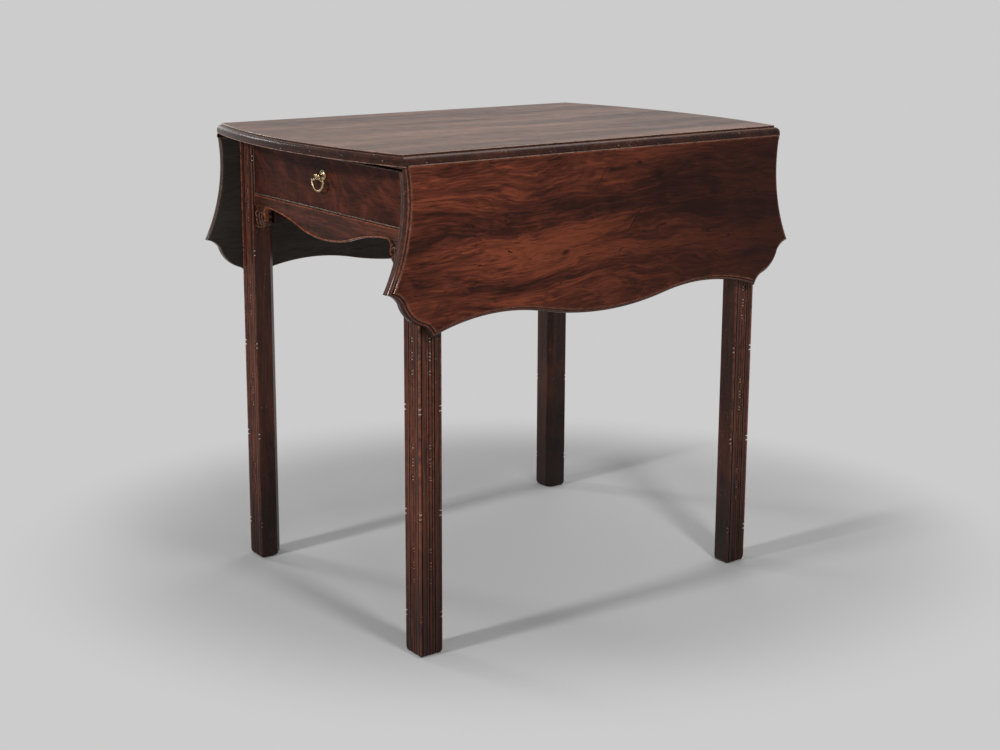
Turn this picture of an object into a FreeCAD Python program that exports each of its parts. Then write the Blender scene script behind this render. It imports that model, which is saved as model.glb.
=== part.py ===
import FreeCAD, Part
import Sketcher
import os
from types import SimpleNamespace

# Driving sizes in millimetres, +Z up, floor at zero, drawer end towards -Y.
SIZES = {
    # fixed top and its rule joints
    "table_height": 711,
    "top_thickness": 16,
    "end_overhang": 27,
    "leaf_clearance": 3,
    "end_bow": 35,
    "bow_sweep_angle": 90,
    "edge_fillet": 3,
    "edge_round": 5.5,
    "rule_radius": 10,
    "rule_clearance": 0.4,
    # leaf outline, measured down from the hinge axis and out from the leaf's ends
    "leaf_hollow_drop": 57,
    "leaf_hollow_depth": 4,
    "leaf_cusp_drop": 167,
    "leaf_cusp_flare": 24,
    "leaf_corner_width": 66,
    "leaf_corner_drop": 61,
    "leaf_edge_hollow": 18,
    "leaf_edge_bulge": 3,
    # frame and legs
    "frame_width": 504,
    "frame_length": 636,
    "leg_size": 38,
    "leg_chamfer": 9,
    "leg_bead_width": 4,
    "leg_reed_width": 3.6,
    "leg_quirk_depth": 1.6,
    "leg_field_sink": 0.5,
    # rails
    "rail_setback": 3.5,
    "end_rail_thickness": 22,
    "end_rail_depth": 17,
    "apron_depth": 43,
    "bead_end_gap": 11,
    "side_rail_thickness": 17,
    "tenon_length": 18,
    "tenon_thickness": 8,
    "tenon_shoulder": 3,
    "mortise_clearance": 0.1,
    "bead_width": 3,
    "bead_proud": 1.5,
    "bead_depth": 8,
    # carved end brackets and plain side brackets
    "bracket_width": 40,
    "bracket_height": 33,
    "bracket_thickness": 12,
    "bracket_piercing": 4.4,
    "side_bracket_length": 42,
    "side_bracket_thickness": 14,
    # fly brackets under the leaves
    "fly_end_gap": 60,
    "fly_depth": 72,
    "fly_tip_depth": 26,
    "fly_thickness": 13,
    "fly_gap": 1,
    "fly_block_length": 140,
    "fly_top_clearance": 0.6,
    "knuckle_clearance": 0.5,
    "fly_pin_diameter": 5,
    # drawer
    "drawer_gap": 12.5,
    "upper_rail_gap": 1.5,
    "drawer_height": 80,
    "drawer_back_space": 67,
    "drawer_side_gap": 3,
    "drawer_front_thickness": 20,
    "drawer_side_thickness": 9,
    "drawer_side_drop": 6,
    "drawer_lap": 12,
    "drawer_bottom_thickness": 6,
    "drawer_bottom_rise": 8,
    "drawer_groove": 4,
    "drawer_clearance": 0.3,
    "drawer_rail_gap": 1.2,
    "cockbead_thickness": 3,
    "cockbead_depth": 10,
    "cockbead_proud": 2,
    "runner_width": 22,
    "runner_depth": 17,
    "kicker_width": 22,
    "kicker_gap": 1.5,
    "stop_length": 24,
    "stop_height": 12,
    # brass pull
    "pull_rise": 12,
    "pull_reach": 9,
    "pull_ball_diameter": 8,
    "pull_post_diameter": 5,
    "pull_pin_diameter": 2.4,
    "pull_rosette_diameter": 16,
    "pull_rosette_thickness": 3,
    "pull_drop_width": 36,
    "pull_drop_height": 24,
    "pull_drop_thickness": 3,
    "pull_band_width": 3.2,
    "pull_ear_width": 2.2,
    "pull_ear_gap": 0.5,
    "pull_nut_size": 9,
    "pull_nut_thickness": 4,
    "running_clearance": 0.05,
    "seat_clearance": 0.1,
    # table hinges and screws
    "hinge_inset": 115,
    "hinge_width": 32,
    "hinge_plate": 2,
    "hinge_top_flap": 36,
    "hinge_leaf_flap": 46,
    "hinge_pin_diameter": 2.8,
    "hinge_knuckle_gap": 0.4,
    "hinge_bed_clearance": 0.4,
    "screw_diameter": 3.4,
    "screw_head_diameter": 6.6,
    "screw_length": 10,
    "top_screw_length": 24,
    "top_screw_inset": 82.5,
    "glue_block_size": 16,
    "glue_block_length": 60,
    "glue_block_spacing": 75,
    "overrun": 5,
}

# Shares of the sizes that they follow, chosen by eye.
LEAF_CORNER_SHARES = ((0.174, 0.09), (0.295, 0.246), (0.462, 0.557), (0.735, 0.746), (0.894, 0.844))
LEAF_EDGE_HOLLOW_SHARE = 0.677
LEAF_EDGE_TURN_SHARE = 0.38
LEAF_EDGE_TURN_DROP_SHARE = 0.44
CUSP_REACH_SHARES = (1.365, 0.43)
CORNER_REACH_SHARES = ((0.6, 0.8), (0.94, 0.35), (0.72, 0.69), (0.36, 0.93), (0.75, 0.66))
TIP_REACH_SHARES = (0.45, 1.33)
APRON_TURN_SHARES = (0.395, 0.73)
APRON_HOLLOW_SHARES = (0.662, 0.285)
BRACKET_SHARES = (
    ((1, 0),),
    ((0.87, 0.08), (0.82, 0.27)),
    ((0.86, 0.41), (0.79, 0.55)),
    ((0.82, 0.75), (0.64, 0.91)),
    ((0.34, 1.02), (0, 1)),
)
BRACKET_PIERCING_SHARES = ((0.71, 0.5), (0.51, 0.44), (0.25, 0.36), (0.34, 0.59))
SIDE_BRACKET_SHARES = (((1, 0),), ((0.9, 0.3), (0.7, 0.55)), ((0.45, 0.85), (0, 1)))
FLY_TIP_SHARES = (((0.97, 0.5), (0.88, 0.62)), ((0.76, 0.72), (0.66, 1)))
DROP_CUSP_SHARES = (1, 0.138)
DROP_BELLY_SHARES = (0.8, 0.632)
DROP_SHOULDER_SHARE = 0.11
DROP_NARROW_SHARES = (1.6, 0.5)
ROSETTE_FACE_SHARE = 0.6
HINGE_SCREW_SHARES = (0.42, 0.8)
DIAGONAL_SHARE = 0.5 ** 0.5
KNUCKLE_COUNT = 5


class Size:
    """A length that knows its value and its formula over the sheet's cells."""

    def __init__(self, value, text):
        self.value = float(value)
        self.text = text

    def joined(self, other, sign, value):
        return Size(value, f"({self.text} {sign} {as_size(other).text})")

    def __add__(self, other):
        return self.joined(other, "+", self.value + as_size(other).value)

    def __sub__(self, other):
        return self.joined(other, "-", self.value - as_size(other).value)

    def __mul__(self, share):
        return self.joined(share, "*", self.value * as_size(share).value)

    def __truediv__(self, share):
        return self.joined(share, "/", self.value / as_size(share).value)

    def __neg__(self):
        return Size(-self.value, f"(0 - {self.text})")


def as_size(number):
    """A plain number as a Size."""
    return number if isinstance(number, Size) else Size(number, f"({float(number)!r})")


def root(square):
    """The square root of a Size."""
    return Size(square.value ** 0.5, f"sqrt({square.text})")


doc = FreeCAD.newDocument("pembroke_table")
sheet = doc.addObject("Spreadsheet::Sheet", "Sizes")
for row, (alias, number) in enumerate(SIZES.items(), 1):
    sheet.set(f"A{row}", alias)
    sheet.set(f"B{row}", str(number))
    sheet.setAlias(f"B{row}", alias)
doc.recompute()

S = SimpleNamespace(**{alias: Size(sheet.get(alias), f"Sizes.{alias}") for alias in SIZES})
ZERO = as_size(0)
ENDS = {"front": -1, "back": 1}
SIDES = {"right": 1, "left": -1}
TURNS = {
    "x": FreeCAD.Rotation(FreeCAD.Vector(0, 1, 0), 90),
    "y": FreeCAD.Rotation(FreeCAD.Vector(1, 0, 0), -90),
    "z": FreeCAD.Rotation(),
    "-z": FreeCAD.Rotation(FreeCAD.Vector(1, 0, 0), 180),
    "-x": FreeCAD.Rotation(FreeCAD.Vector(0, 1, 0), -90),
}
nodes = []


def bind(feature, **sizes):
    """Ties a feature's properties to the sheet."""
    for name, value in sizes.items():
        feature.setExpression(name, as_size(value).text)
    return feature


def place(feature, x, y, z, turn="z"):
    """Turns a primitive and ties its place to the sheet."""
    feature.Placement = FreeCAD.Placement(FreeCAD.Vector(), TURNS[turn])
    for axis, value in zip("xyz", (x, y, z)):
        feature.setExpression(f"Placement.Base.{axis}", as_size(value).text)
    return feature


def span(side, low, high):
    """An interval on the given side of the middle plane, low end first."""
    return (low, high) if side > 0 else (-high, -low)


def box(name, x, y, z):
    """A block between pairs of coordinates."""
    block = doc.addObject("Part::Box", name)
    bind(block, Length=x[1] - x[0], Width=y[1] - y[0], Height=z[1] - z[0])
    return place(block, x[0], y[0], z[0])


def rod(name, diameter, length, start, turn="z"):
    """A cylinder that starts at a point and runs along an axis."""
    cylinder = doc.addObject("Part::Cylinder", name)
    bind(cylinder, Radius=diameter / 2, Height=length)
    return place(cylinder, *start, turn)


def taper(name, diameter, end_diameter, length, start, turn="z"):
    """A cone frustum that starts at a point and runs along an axis."""
    cone = doc.addObject("Part::Cone", name)
    bind(cone, Radius1=diameter / 2, Radius2=end_diameter / 2, Height=length)
    return place(cone, *start, turn)


def joined(name, shapes):
    """Shapes fused into one solid, or kept as one set of tools."""
    fusion = doc.addObject("Part::MultiFuse", name)
    fusion.Shapes = shapes
    fusion.Refine = True
    return fusion


def trimmed(name, base, tools):
    """A shape with tools cut away."""
    cut = doc.addObject("Part::Cut", name)
    cut.Base = base
    cut.Tool = tools[0] if len(tools) == 1 else joined(f"{name}_tools", tools)
    return cut


def group(name, solids):
    """Separate like solids that share a node."""
    compound = doc.addObject("Part::Compound", name)
    compound.Links = solids
    return compound


def node(feature, label):
    """Names a finished sub-part."""
    feature.Label = label
    nodes.append(feature)
    return feature


def new_body(name):
    """An empty body."""
    return doc.addObject("PartDesign::Body", name)


def plane_sketch(body, role, offset=ZERO, shift=ZERO):
    """A sketch on one of the body's own planes, moved along its normal and along its first axis."""
    sketch = body.newObject("Sketcher::SketchObject", f"{body.Name}_outline")
    plane = next(p for p in body.Origin.OriginFeatures if p.Role == role)
    sketch.AttachmentSupport = [(plane, "")]
    sketch.MapMode = "FlatFace"
    sketch.setExpression("AttachmentOffset.Base.z", offset.text)
    sketch.setExpression("AttachmentOffset.Base.x", shift.text)
    return sketch


def vector(point):
    """A sketch point as a vector."""
    return FreeCAD.Vector(as_size(point[0]).value, as_size(point[1]).value, 0)


def pin_point(sketch, element, position, point):
    """Ties a sketch point to the sheet."""
    for kind, value in zip(("DistanceX", "DistanceY"), point):
        size = as_size(value)
        index = sketch.addConstraint(Sketcher.Constraint(kind, -1, 1, element, position, size.value))
        sketch.setExpression(f"Constraints[{index}]", size.text)


def draw_outline(sketch, start, steps):
    """A closed outline of lines, each given by its end, and arcs, given by a point passed and the end."""
    first, last, here = None, None, start
    for step in steps:
        end = step[-1]
        if len(step) == 1:
            edge = sketch.addGeometry(Part.LineSegment(vector(here), vector(end)))
            opens, closes = 1, 2
        else:
            a, via, b = vector(here), vector(step[0]), vector(end)
            turns_left = (via - a).cross(b - via).z > 0
            edge = sketch.addGeometry(Part.Arc(a, via, b) if turns_left else Part.Arc(b, via, a))
            opens, closes = (1, 2) if turns_left else (2, 1)
            mark = sketch.addGeometry(Part.Point(via), True)
            sketch.addConstraint(Sketcher.Constraint("PointOnObject", mark, 1, edge))
            pin_point(sketch, mark, 1, step[0])
        if last is not None:
            sketch.addConstraint(Sketcher.Constraint("Coincident", last[0], last[1], edge, opens))
        first = first or (edge, opens)
        pin_point(sketch, edge, closes, end)
        last, here = (edge, closes), end
    sketch.addConstraint(Sketcher.Constraint("Coincident", last[0], last[1], first[0], first[1]))
    return sketch


def draw_circle(sketch, middle, diameter):
    """A circle in a sketch."""
    normal = FreeCAD.Vector(0, 0, 1)
    edge = sketch.addGeometry(Part.Circle(vector(middle), normal, diameter.value / 2))
    index = sketch.addConstraint(Sketcher.Constraint("Diameter", edge, diameter.value))
    sketch.setExpression(f"Constraints[{index}]", diameter.text)
    pin_point(sketch, edge, 3, middle)


def pad(body, sketch, length, reverse=False, symmetric=False):
    """Gives a sketch its thickness."""
    feature = body.newObject("PartDesign::Pad", f"{body.Name}_pad")
    feature.Profile = sketch
    feature.Reversed = reverse
    feature.SideType = "Symmetric" if symmetric else "One side"
    bind(feature, Length=length)
    return feature


# Planes and lines that several pieces share.
underside = S.table_height - S.top_thickness
pin_rise = S.top_thickness - S.edge_fillet - S.rule_radius
leg_x = S.frame_width / 2
leg_y = S.frame_length / 2
hinge_x = leg_x + S.leaf_clearance + pin_rise
hinge_z = underside + pin_rise
leaf_outer = hinge_x + S.rule_radius + S.edge_fillet
end_y = leg_y + S.end_overhang
leg_inner_x = leg_x - S.leg_size
leg_inner_y = leg_y - S.leg_size
rail_face = leg_y - S.rail_setback
rail_back = rail_face - S.end_rail_thickness
drawer_top = underside - S.drawer_gap
drawer_floor = drawer_top - S.drawer_height
rail_top = drawer_floor - S.drawer_rail_gap
upper_foot = drawer_top + S.upper_rail_gap
rail_foot = rail_top - S.end_rail_depth
apron_half = leg_inner_x - S.bracket_width - S.bead_end_gap
drawer_x = leg_inner_x - S.drawer_side_gap
side_inner = drawer_x + S.drawer_clearance
side_outer = side_inner + S.side_rail_thickness
fly_inner = side_outer + S.fly_gap
fly_outer = fly_inner + S.fly_thickness
fly_axis_x = fly_inner + S.fly_thickness / 2
fly_axis_y = S.fly_block_length / 2
fly_tip_y = leg_inner_y - S.fly_end_gap
fly_top = underside - S.fly_top_clearance
fly_foot = fly_top - S.fly_depth
drawer_back_end = rail_back - S.drawer_back_space
runner_top = drawer_floor - S.drawer_clearance
side_top = drawer_top - S.drawer_side_drop
kicker_foot = side_top + S.kicker_gap
pull_z = drawer_floor + S.drawer_height / 2 + S.pull_rise
pull_y = -(rail_face + S.pull_reach)
hinge_places = {end: (end_y - S.hinge_inset) * sign for end, sign in ENDS.items()}
tenon_middle_x = side_inner + S.side_rail_thickness / 2
tenon_middle_y = rail_face - S.end_rail_thickness / 2


def hinge_beds(name, side, y):
    """Room for one hinge in the board above it: flap bed, knuckle slot and swing slot."""
    bed = S.hinge_bed_clearance
    along = (y - S.hinge_width / 2 - bed, y + S.hinge_width / 2 + bed)
    low = underside - S.overrun
    reach = pin_rise + bed
    knuckle = span(side, hinge_x - reach, hinge_x + reach)
    flap_end = hinge_x - S.hinge_top_flap - bed
    swing_end = hinge_x + S.rule_radius + S.overrun
    plate_top = underside + S.hinge_plate
    return [
        box(f"{name}_bed", span(side, flap_end, hinge_x), along, (low, plate_top)),
        box(f"{name}_knuckle", knuckle, along, (low, hinge_z + reach)),
        box(f"{name}_swing", span(side, hinge_x, swing_end), along, (low, plate_top + bed)),
    ]


def flap_screws(name, side, y, on_leaf, grow):
    """Countersunk screws of one flap, grown by a clearance when they serve as holes."""
    flap = S.hinge_leaf_flap if on_leaf else S.hinge_top_flap
    head, shank = S.screw_head_diameter + grow * 2, S.screw_diameter + grow * 2
    screws = []
    for index, share in enumerate(HINGE_SCREW_SHARES):
        distance = flap * share
        if on_leaf:
            face = (hinge_x - pin_rise) * side
            start = (face, y, hinge_z - distance)
            neck = (face + S.hinge_plate * side, y, hinge_z - distance)
            turn = "x" if side > 0 else "-x"
        else:
            start = ((hinge_x - distance) * side, y, underside)
            neck = (start[0], y, underside + S.hinge_plate)
            turn = "z"
        cone = taper(f"{name}_head{index}", head, shank, S.hinge_plate, start, turn)
        body = rod(f"{name}_shank{index}", shank, S.screw_length + grow, neck, turn)
        screws.append(joined(f"{name}_{index}", [cone, body]))
    return screws


def top_board():
    """Fixed top: a rule-jointed section along the table, with bowed and moulded ends."""
    body = new_body("top_board_body")
    low_x = root(S.rule_radius * S.rule_radius - pin_rise * pin_rise)
    diagonal = S.rule_radius * DIAGONAL_SHARE
    right = [
        ((hinge_x, S.table_height),),
        ((hinge_x, S.table_height - S.edge_fillet),),
        ((hinge_x + diagonal, hinge_z + diagonal), (hinge_x + low_x, underside)),
    ]
    left = [
        ((-(hinge_x + low_x), underside),),
        ((-(hinge_x + diagonal), hinge_z + diagonal), (-hinge_x, S.table_height - S.edge_fillet)),
        ((-hinge_x, S.table_height),),
    ]
    section = plane_sketch(body, "XZ_Plane")
    draw_outline(section, (-hinge_x, S.table_height), right + left)
    crest = end_y + S.end_bow
    whole = crest + S.edge_round + S.overrun
    pad(body, section, whole * 2, symmetric=True)
    bow_radius = (hinge_x * hinge_x + S.end_bow * S.end_bow) / (S.end_bow * 2)
    waste = plane_sketch(body, "YZ_Plane", shift=bow_radius - crest)
    step = S.table_height - S.edge_fillet
    round_45 = S.edge_round * DIAGONAL_SHARE
    far = bow_radius + S.edge_round + S.end_bow * 2 + S.overrun
    above, below = S.table_height + S.overrun, underside - S.overrun
    lip = -(bow_radius + S.edge_round)
    arc_middle = (-(bow_radius + round_45), step - S.edge_round + round_45)
    steps = [
        ((-bow_radius, step),),
        (arc_middle, (lip, step - S.edge_round)),
        ((lip, below),),
        ((-far, below),),
        ((-far, above),),
        ((-bow_radius, above),),
    ]
    draw_outline(waste, (-bow_radius, above), steps)
    groove = body.newObject("PartDesign::Groove", "top_board_end")
    groove.Profile = waste
    groove.ReferenceAxis = (waste, ["V_Axis"])
    groove.Midplane = True
    bind(groove, Angle=S.bow_sweep_angle)
    doc.recompute()
    mirror = body.newObject("PartDesign::Mirrored", "top_board_ends")
    mirror.Originals = [groove]
    mirror.MirrorPlane = (next(p for p in body.Origin.OriginFeatures if p.Role == "XZ_Plane"), [""])
    body.Tip = mirror
    tools = []
    for side_name, side in SIDES.items():
        for end, y in hinge_places.items():
            name = f"top_{side_name}_{end}"
            tools += hinge_beds(name, side, y)
            tools += flap_screws(f"{name}_hole", side, y, False, S.seat_clearance)
    for side_name, side in SIDES.items():
        tools += top_screws(f"top_hole_{side_name}", side, S.seat_clearance)
    return node(trimmed("top_board_cut", body, tools), "top_board")


def leaf_outline(sketch, reach):
    """Leaf edge in its hanging plane: hollow ends, cusps, ogee corners and a serpentine lower edge."""
    top = hinge_z - S.rule_clearance
    cusp_y = end_y + S.leaf_cusp_flare
    tip_y = cusp_y - S.leaf_corner_width
    tip_drop = S.leaf_cusp_drop + S.leaf_corner_drop
    hollow_drop = tip_drop - S.leaf_edge_hollow
    turn_drop = tip_drop - S.leaf_edge_hollow * (1 - LEAF_EDGE_TURN_DROP_SHARE)
    half = [(end_y - S.leaf_hollow_depth + reach, hinge_z - S.leaf_hollow_drop)]
    cusp_out, cusp_low = reach * CUSP_REACH_SHARES[0], reach * CUSP_REACH_SHARES[1]
    half.append((cusp_y + cusp_out, hinge_z - S.leaf_cusp_drop - cusp_low))
    for (across, down), (out, low) in zip(LEAF_CORNER_SHARES, CORNER_REACH_SHARES):
        y = cusp_y - S.leaf_corner_width * across + reach * out
        half.append((y, hinge_z - S.leaf_cusp_drop - S.leaf_corner_drop * down - reach * low))
    half.append((tip_y + reach * TIP_REACH_SHARES[0], hinge_z - tip_drop - reach * TIP_REACH_SHARES[1]))
    half.append((tip_y * LEAF_EDGE_HOLLOW_SHARE, hinge_z - hollow_drop - reach))
    half.append((tip_y * LEAF_EDGE_TURN_SHARE, hinge_z - turn_drop - reach))
    points = [(end_y + reach, top)] + half
    steps = [(points[i], points[i + 1]) for i in range(1, len(points), 2)]
    bottom = (ZERO, hinge_z - tip_drop - S.leaf_edge_bulge - reach)
    mirrored = [(-y, z) for y, z in reversed(points)]
    steps.append((bottom, mirrored[0]))
    steps += [(mirrored[i], mirrored[i + 1]) for i in range(1, len(mirrored), 2)]
    steps.append((points[0],))
    return draw_outline(sketch, points[0], steps)


def leaf(side_name, side):
    """Hanging leaf: square step at its outer face, rounded moulding, inner band, cove over the hinge."""
    body = new_body(f"leaf_{side_name}_body")
    inward = side > 0
    step_x = leaf_outer - S.edge_fillet
    band_x = step_x - S.edge_round
    outer = leaf_outline(plane_sketch(body, "YZ_Plane", leaf_outer * side), ZERO)
    pad(body, outer, S.edge_fillet, reverse=inward)
    rings = []
    for sink, out in ((0, 0), (1 - DIAGONAL_SHARE, DIAGONAL_SHARE), (1, 1)):
        ring = plane_sketch(body, "YZ_Plane", (step_x - S.edge_round * sink) * side)
        rings.append(leaf_outline(ring, S.edge_round * out))
    moulding = body.newObject("PartDesign::AdditiveLoft", f"leaf_{side_name}_moulding")
    moulding.Profile = rings[0]
    moulding.Sections = rings[1:]
    moulding.Ruled = True
    doc.recompute()
    band = leaf_outline(plane_sketch(body, "YZ_Plane", band_x * side), S.edge_round)
    pad(body, band, S.top_thickness - S.edge_fillet - S.edge_round, reverse=inward)
    length = (end_y + S.edge_round + S.overrun) * 2
    cove = (S.rule_radius + S.rule_clearance) * 2
    tools = [rod(f"leaf_{side_name}_cove", cove, length, (hinge_x * side, -(length / 2), hinge_z), "y")]
    face = hinge_x - pin_rise
    bed = S.hinge_bed_clearance
    for end, y in hinge_places.items():
        name = f"leaf_{side_name}_{end}"
        along = (y - S.hinge_width / 2 - bed, y + S.hinge_width / 2 + bed)
        across = span(side, face - S.overrun, face + S.hinge_plate)
        tools.append(box(f"{name}_bed", across, along, (hinge_z - S.hinge_leaf_flap - bed, hinge_z)))
        tools += flap_screws(f"{name}_hole", side, y, True, S.seat_clearance)
    return node(trimmed(f"leaf_{side_name}_cut", body, tools), f"leaf_{side_name}")


def leg(end, side_name):
    """Square leg, moulded with beads and a reed on its two outer faces, chamfered inside, mortised."""
    side, along = SIDES[side_name], ENDS[end]
    body = new_body(f"leg_{end}_{side_name}_body")
    full, bead, quirk = S.leg_size, S.leg_bead_width, S.leg_size - S.leg_quirk_depth
    half_bead = bead / 2
    reed_start = full / 2 - S.leg_reed_width / 2
    reed_end = full / 2 + S.leg_reed_width / 2
    crown = full - S.leg_field_sink
    face = [
        ((ZERO, full - half_bead), None),
        ((bead, quirk), (half_bead, full)),
        ((reed_start, quirk), ((bead + reed_start) / 2, crown)),
        ((reed_end, quirk), (full / 2, full)),
        ((full - bead, quirk), ((reed_end + full - bead) / 2, crown)),
    ]
    corner = full - half_bead * (1 - DIAGONAL_SHARE)
    other = [((v, u), via) for (u, v), via in reversed(face)]
    path = [((S.leg_chamfer, ZERO), None), ((ZERO, S.leg_chamfer), None)] + face
    path.append((other[0][0], (corner, corner)))
    for index in range(1, len(other)):
        via = face[len(face) - index][1]
        path.append((other[index][0], (via[1], via[0]) if via else None))

    def corner_point(point):
        return ((leg_inner_x + point[0]) * side, (leg_inner_y + point[1]) * along)

    steps = []
    for end_at, via in path[1:]:
        steps.append((corner_point(via), corner_point(end_at)) if via else (corner_point(end_at),))
    steps.append((corner_point(path[0][0]),))
    section = plane_sketch(body, "XY_Plane")
    draw_outline(section, corner_point(path[0][0]), steps)
    pad(body, section, underside)
    name = f"leg_{end}_{side_name}"
    room = S.mortise_clearance
    side_mortise = tenon_side(f"{name}_side_mortise", side, along, room)
    tools = [side_mortise, tenon_end(f"{name}_end_mortise", end, side, room)]
    if end == "front":
        tools.append(tenon_upper(f"{name}_upper_mortise", side, room))
    return node(trimmed(f"{name}_cut", body, tools), name)


def tenon_side(name, side, along, room):
    """Tenon of a side rail in a leg, grown by a clearance when it serves as a mortise."""
    half = S.tenon_thickness / 2 + room
    across = span(side, tenon_middle_x - half, tenon_middle_x + half)
    deep = span(along, leg_inner_y - S.mortise_clearance, leg_inner_y + S.tenon_length + room)
    tall = (rail_foot + S.tenon_shoulder - room, underside - S.tenon_shoulder + room)
    return box(name, across, deep, tall)


def tenon_end(name, end, side, room):
    """Tenon of an end rail in a leg, grown by a clearance when it serves as a mortise."""
    half = S.tenon_thickness / 2 + room
    top = rail_top if end == "front" else underside
    deep = span(ENDS[end], tenon_middle_y - half, tenon_middle_y + half)
    across = span(side, leg_inner_x - S.mortise_clearance, leg_inner_x + S.tenon_length + room)
    tall = (rail_foot + S.tenon_shoulder - room, top - S.tenon_shoulder + room)
    return box(name, across, deep, tall)


def tenon_upper(name, side, room):
    """Tenon of the rail over the drawer in a front leg, grown when it serves as a mortise."""
    half = S.tenon_thickness / 2 + room
    deep = span(ENDS["front"], tenon_middle_y - half, tenon_middle_y + half)
    across = span(side, leg_inner_x - S.mortise_clearance, leg_inner_x + S.tenon_length + room)
    tall = (upper_foot + S.tenon_shoulder - room, underside - S.tenon_shoulder + room)
    return box(name, across, deep, tall)


def upper_rail():
    """Thin rail over the drawer, tenoned between the front legs."""
    deep = span(ENDS["front"], rail_back, rail_face)
    bar = box("upper_rail_bar", (-leg_inner_x, leg_inner_x), deep, (upper_foot, underside))
    tenons = [tenon_upper(f"upper_rail_tenon_{name}", side, ZERO) for name, side in SIDES.items()]
    return node(joined("upper_rail_joined", [bar] + tenons), "upper_rail")


def apron_points(lift):
    """Serpentine lower edge from left to right, lifted where a bead lies under it."""
    fall = S.apron_depth - S.end_rail_depth
    low = rail_foot + lift
    turn = (apron_half * APRON_TURN_SHARES[0], low - fall * APRON_TURN_SHARES[1])
    hollow = (apron_half * APRON_HOLLOW_SHARES[0], low - fall * APRON_HOLLOW_SHARES[1])
    rest = (apron_half, low)
    left = [(-x, z) for x, z in (rest, hollow, turn)]
    return left + [(ZERO, low - fall), turn, hollow, rest]


def edge_steps(points):
    """The serpentine as three arcs."""
    return [(points[i], points[i + 1]) for i in range(1, len(points), 2)]


def end_rail(end, label):
    """Rail at one end with a serpentine lower edge and two tenons."""
    top = rail_top if end == "front" else underside
    body = new_body(f"{label}_body")
    edge = apron_points(S.bead_width)
    steps = [((-apron_half, rail_foot),), (edge[0],)] + edge_steps(edge)
    steps += [((apron_half, rail_foot),), ((leg_inner_x, rail_foot),)]
    steps += [((leg_inner_x, top),), ((-leg_inner_x, top),)]
    steps.append(((-leg_inner_x, rail_foot),))
    sketch = plane_sketch(body, "XZ_Plane", -rail_face * ENDS[end])
    draw_outline(sketch, (-leg_inner_x, rail_foot), steps)
    pad(body, sketch, S.end_rail_thickness, reverse=end == "front")
    tenons = [tenon_end(f"{label}_tenon_{name}", end, side, ZERO) for name, side in SIDES.items()]
    return node(joined(f"{label}_joined", [body] + tenons), label)


def end_bead(end, label):
    """Bead along the serpentine edge of an end rail."""
    body = new_body(f"{label}_body")
    upper, lower = apron_points(S.bead_width), apron_points(ZERO)
    steps = edge_steps(lower) + [(upper[-1],)] + edge_steps(upper[::-1]) + [(lower[0],)]
    sketch = plane_sketch(body, "XZ_Plane", -(rail_face + S.bead_proud) * ENDS[end])
    draw_outline(sketch, lower[0], steps)
    pad(body, sketch, S.bead_depth, reverse=end == "front")
    return node(body, label)


def end_bracket(end, side_name):
    """Pierced scroll bracket in the corner between a leg and an end rail."""
    side = SIDES[side_name]
    label = f"bracket_{end}_{side_name}"
    body = new_body(f"{label}_body")

    def at(shares):
        x = leg_inner_x - S.bracket_width * shares[0]
        return (x * side, rail_foot - S.bracket_height * shares[1])

    steps = [tuple(at(shares) for shares in step) for step in BRACKET_SHARES] + [(at((0, 0)),)]
    sketch = plane_sketch(body, "XZ_Plane", -rail_face * ENDS[end])
    draw_outline(sketch, at((0, 0)), steps)
    for shares in BRACKET_PIERCING_SHARES:
        draw_circle(sketch, at(shares), S.bracket_piercing)
    pad(body, sketch, S.bracket_thickness, reverse=end == "front")
    return node(body, label)


def side_bracket(end, side_name):
    """Plain bracket in the corner between a leg and a side rail."""
    along = ENDS[end]
    label = f"side_bracket_{end}_{side_name}"
    body = new_body(f"{label}_body")

    def at(shares):
        y = leg_inner_y - S.side_bracket_length * shares[0]
        return (y * along, rail_foot - S.bracket_height * shares[1])

    steps = [tuple(at(shares) for shares in step) for step in SIDE_BRACKET_SHARES] + [(at((0, 0)),)]
    sketch = plane_sketch(body, "YZ_Plane", side_outer * SIDES[side_name])
    draw_outline(sketch, at((0, 0)), steps)
    pad(body, sketch, S.side_bracket_thickness, reverse=SIDES[side_name] > 0)
    return node(body, label)


def side_rail(side_name, side):
    """Inner side rail with a tenon at each end."""
    label = f"side_rail_{side_name}"
    across = span(side, side_inner, side_outer)
    board = box(f"{label}_board", across, (-leg_inner_y, leg_inner_y), (rail_foot, underside))
    tenons = [tenon_side(f"{label}_tenon_{end}", side, along, ZERO) for end, along in ENDS.items()]
    return node(joined(f"{label}_joined", [board] + tenons), label)


def knuckle_cuts(name, side, along, first):
    """Room for every second knuckle of a fly's wooden hinge, counted from the foot."""
    tall = S.fly_depth / KNUCKLE_COUNT
    clear = S.knuckle_clearance
    wide = S.fly_thickness + clear * 2
    cuts = []
    for index in range(first, KNUCKLE_COUNT, 2):
        start = (fly_axis_x * side, fly_axis_y * along, fly_foot + tall * index - clear / 2)
        cuts.append(rod(f"{name}_{index}", wide, tall + clear, start))
    return cuts


def fly_pin_rod(name, side, along, diameter):
    """The pin of one fly, or its hole."""
    return rod(name, diameter, S.fly_depth, (fly_axis_x * side, fly_axis_y * along, fly_foot))


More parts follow.
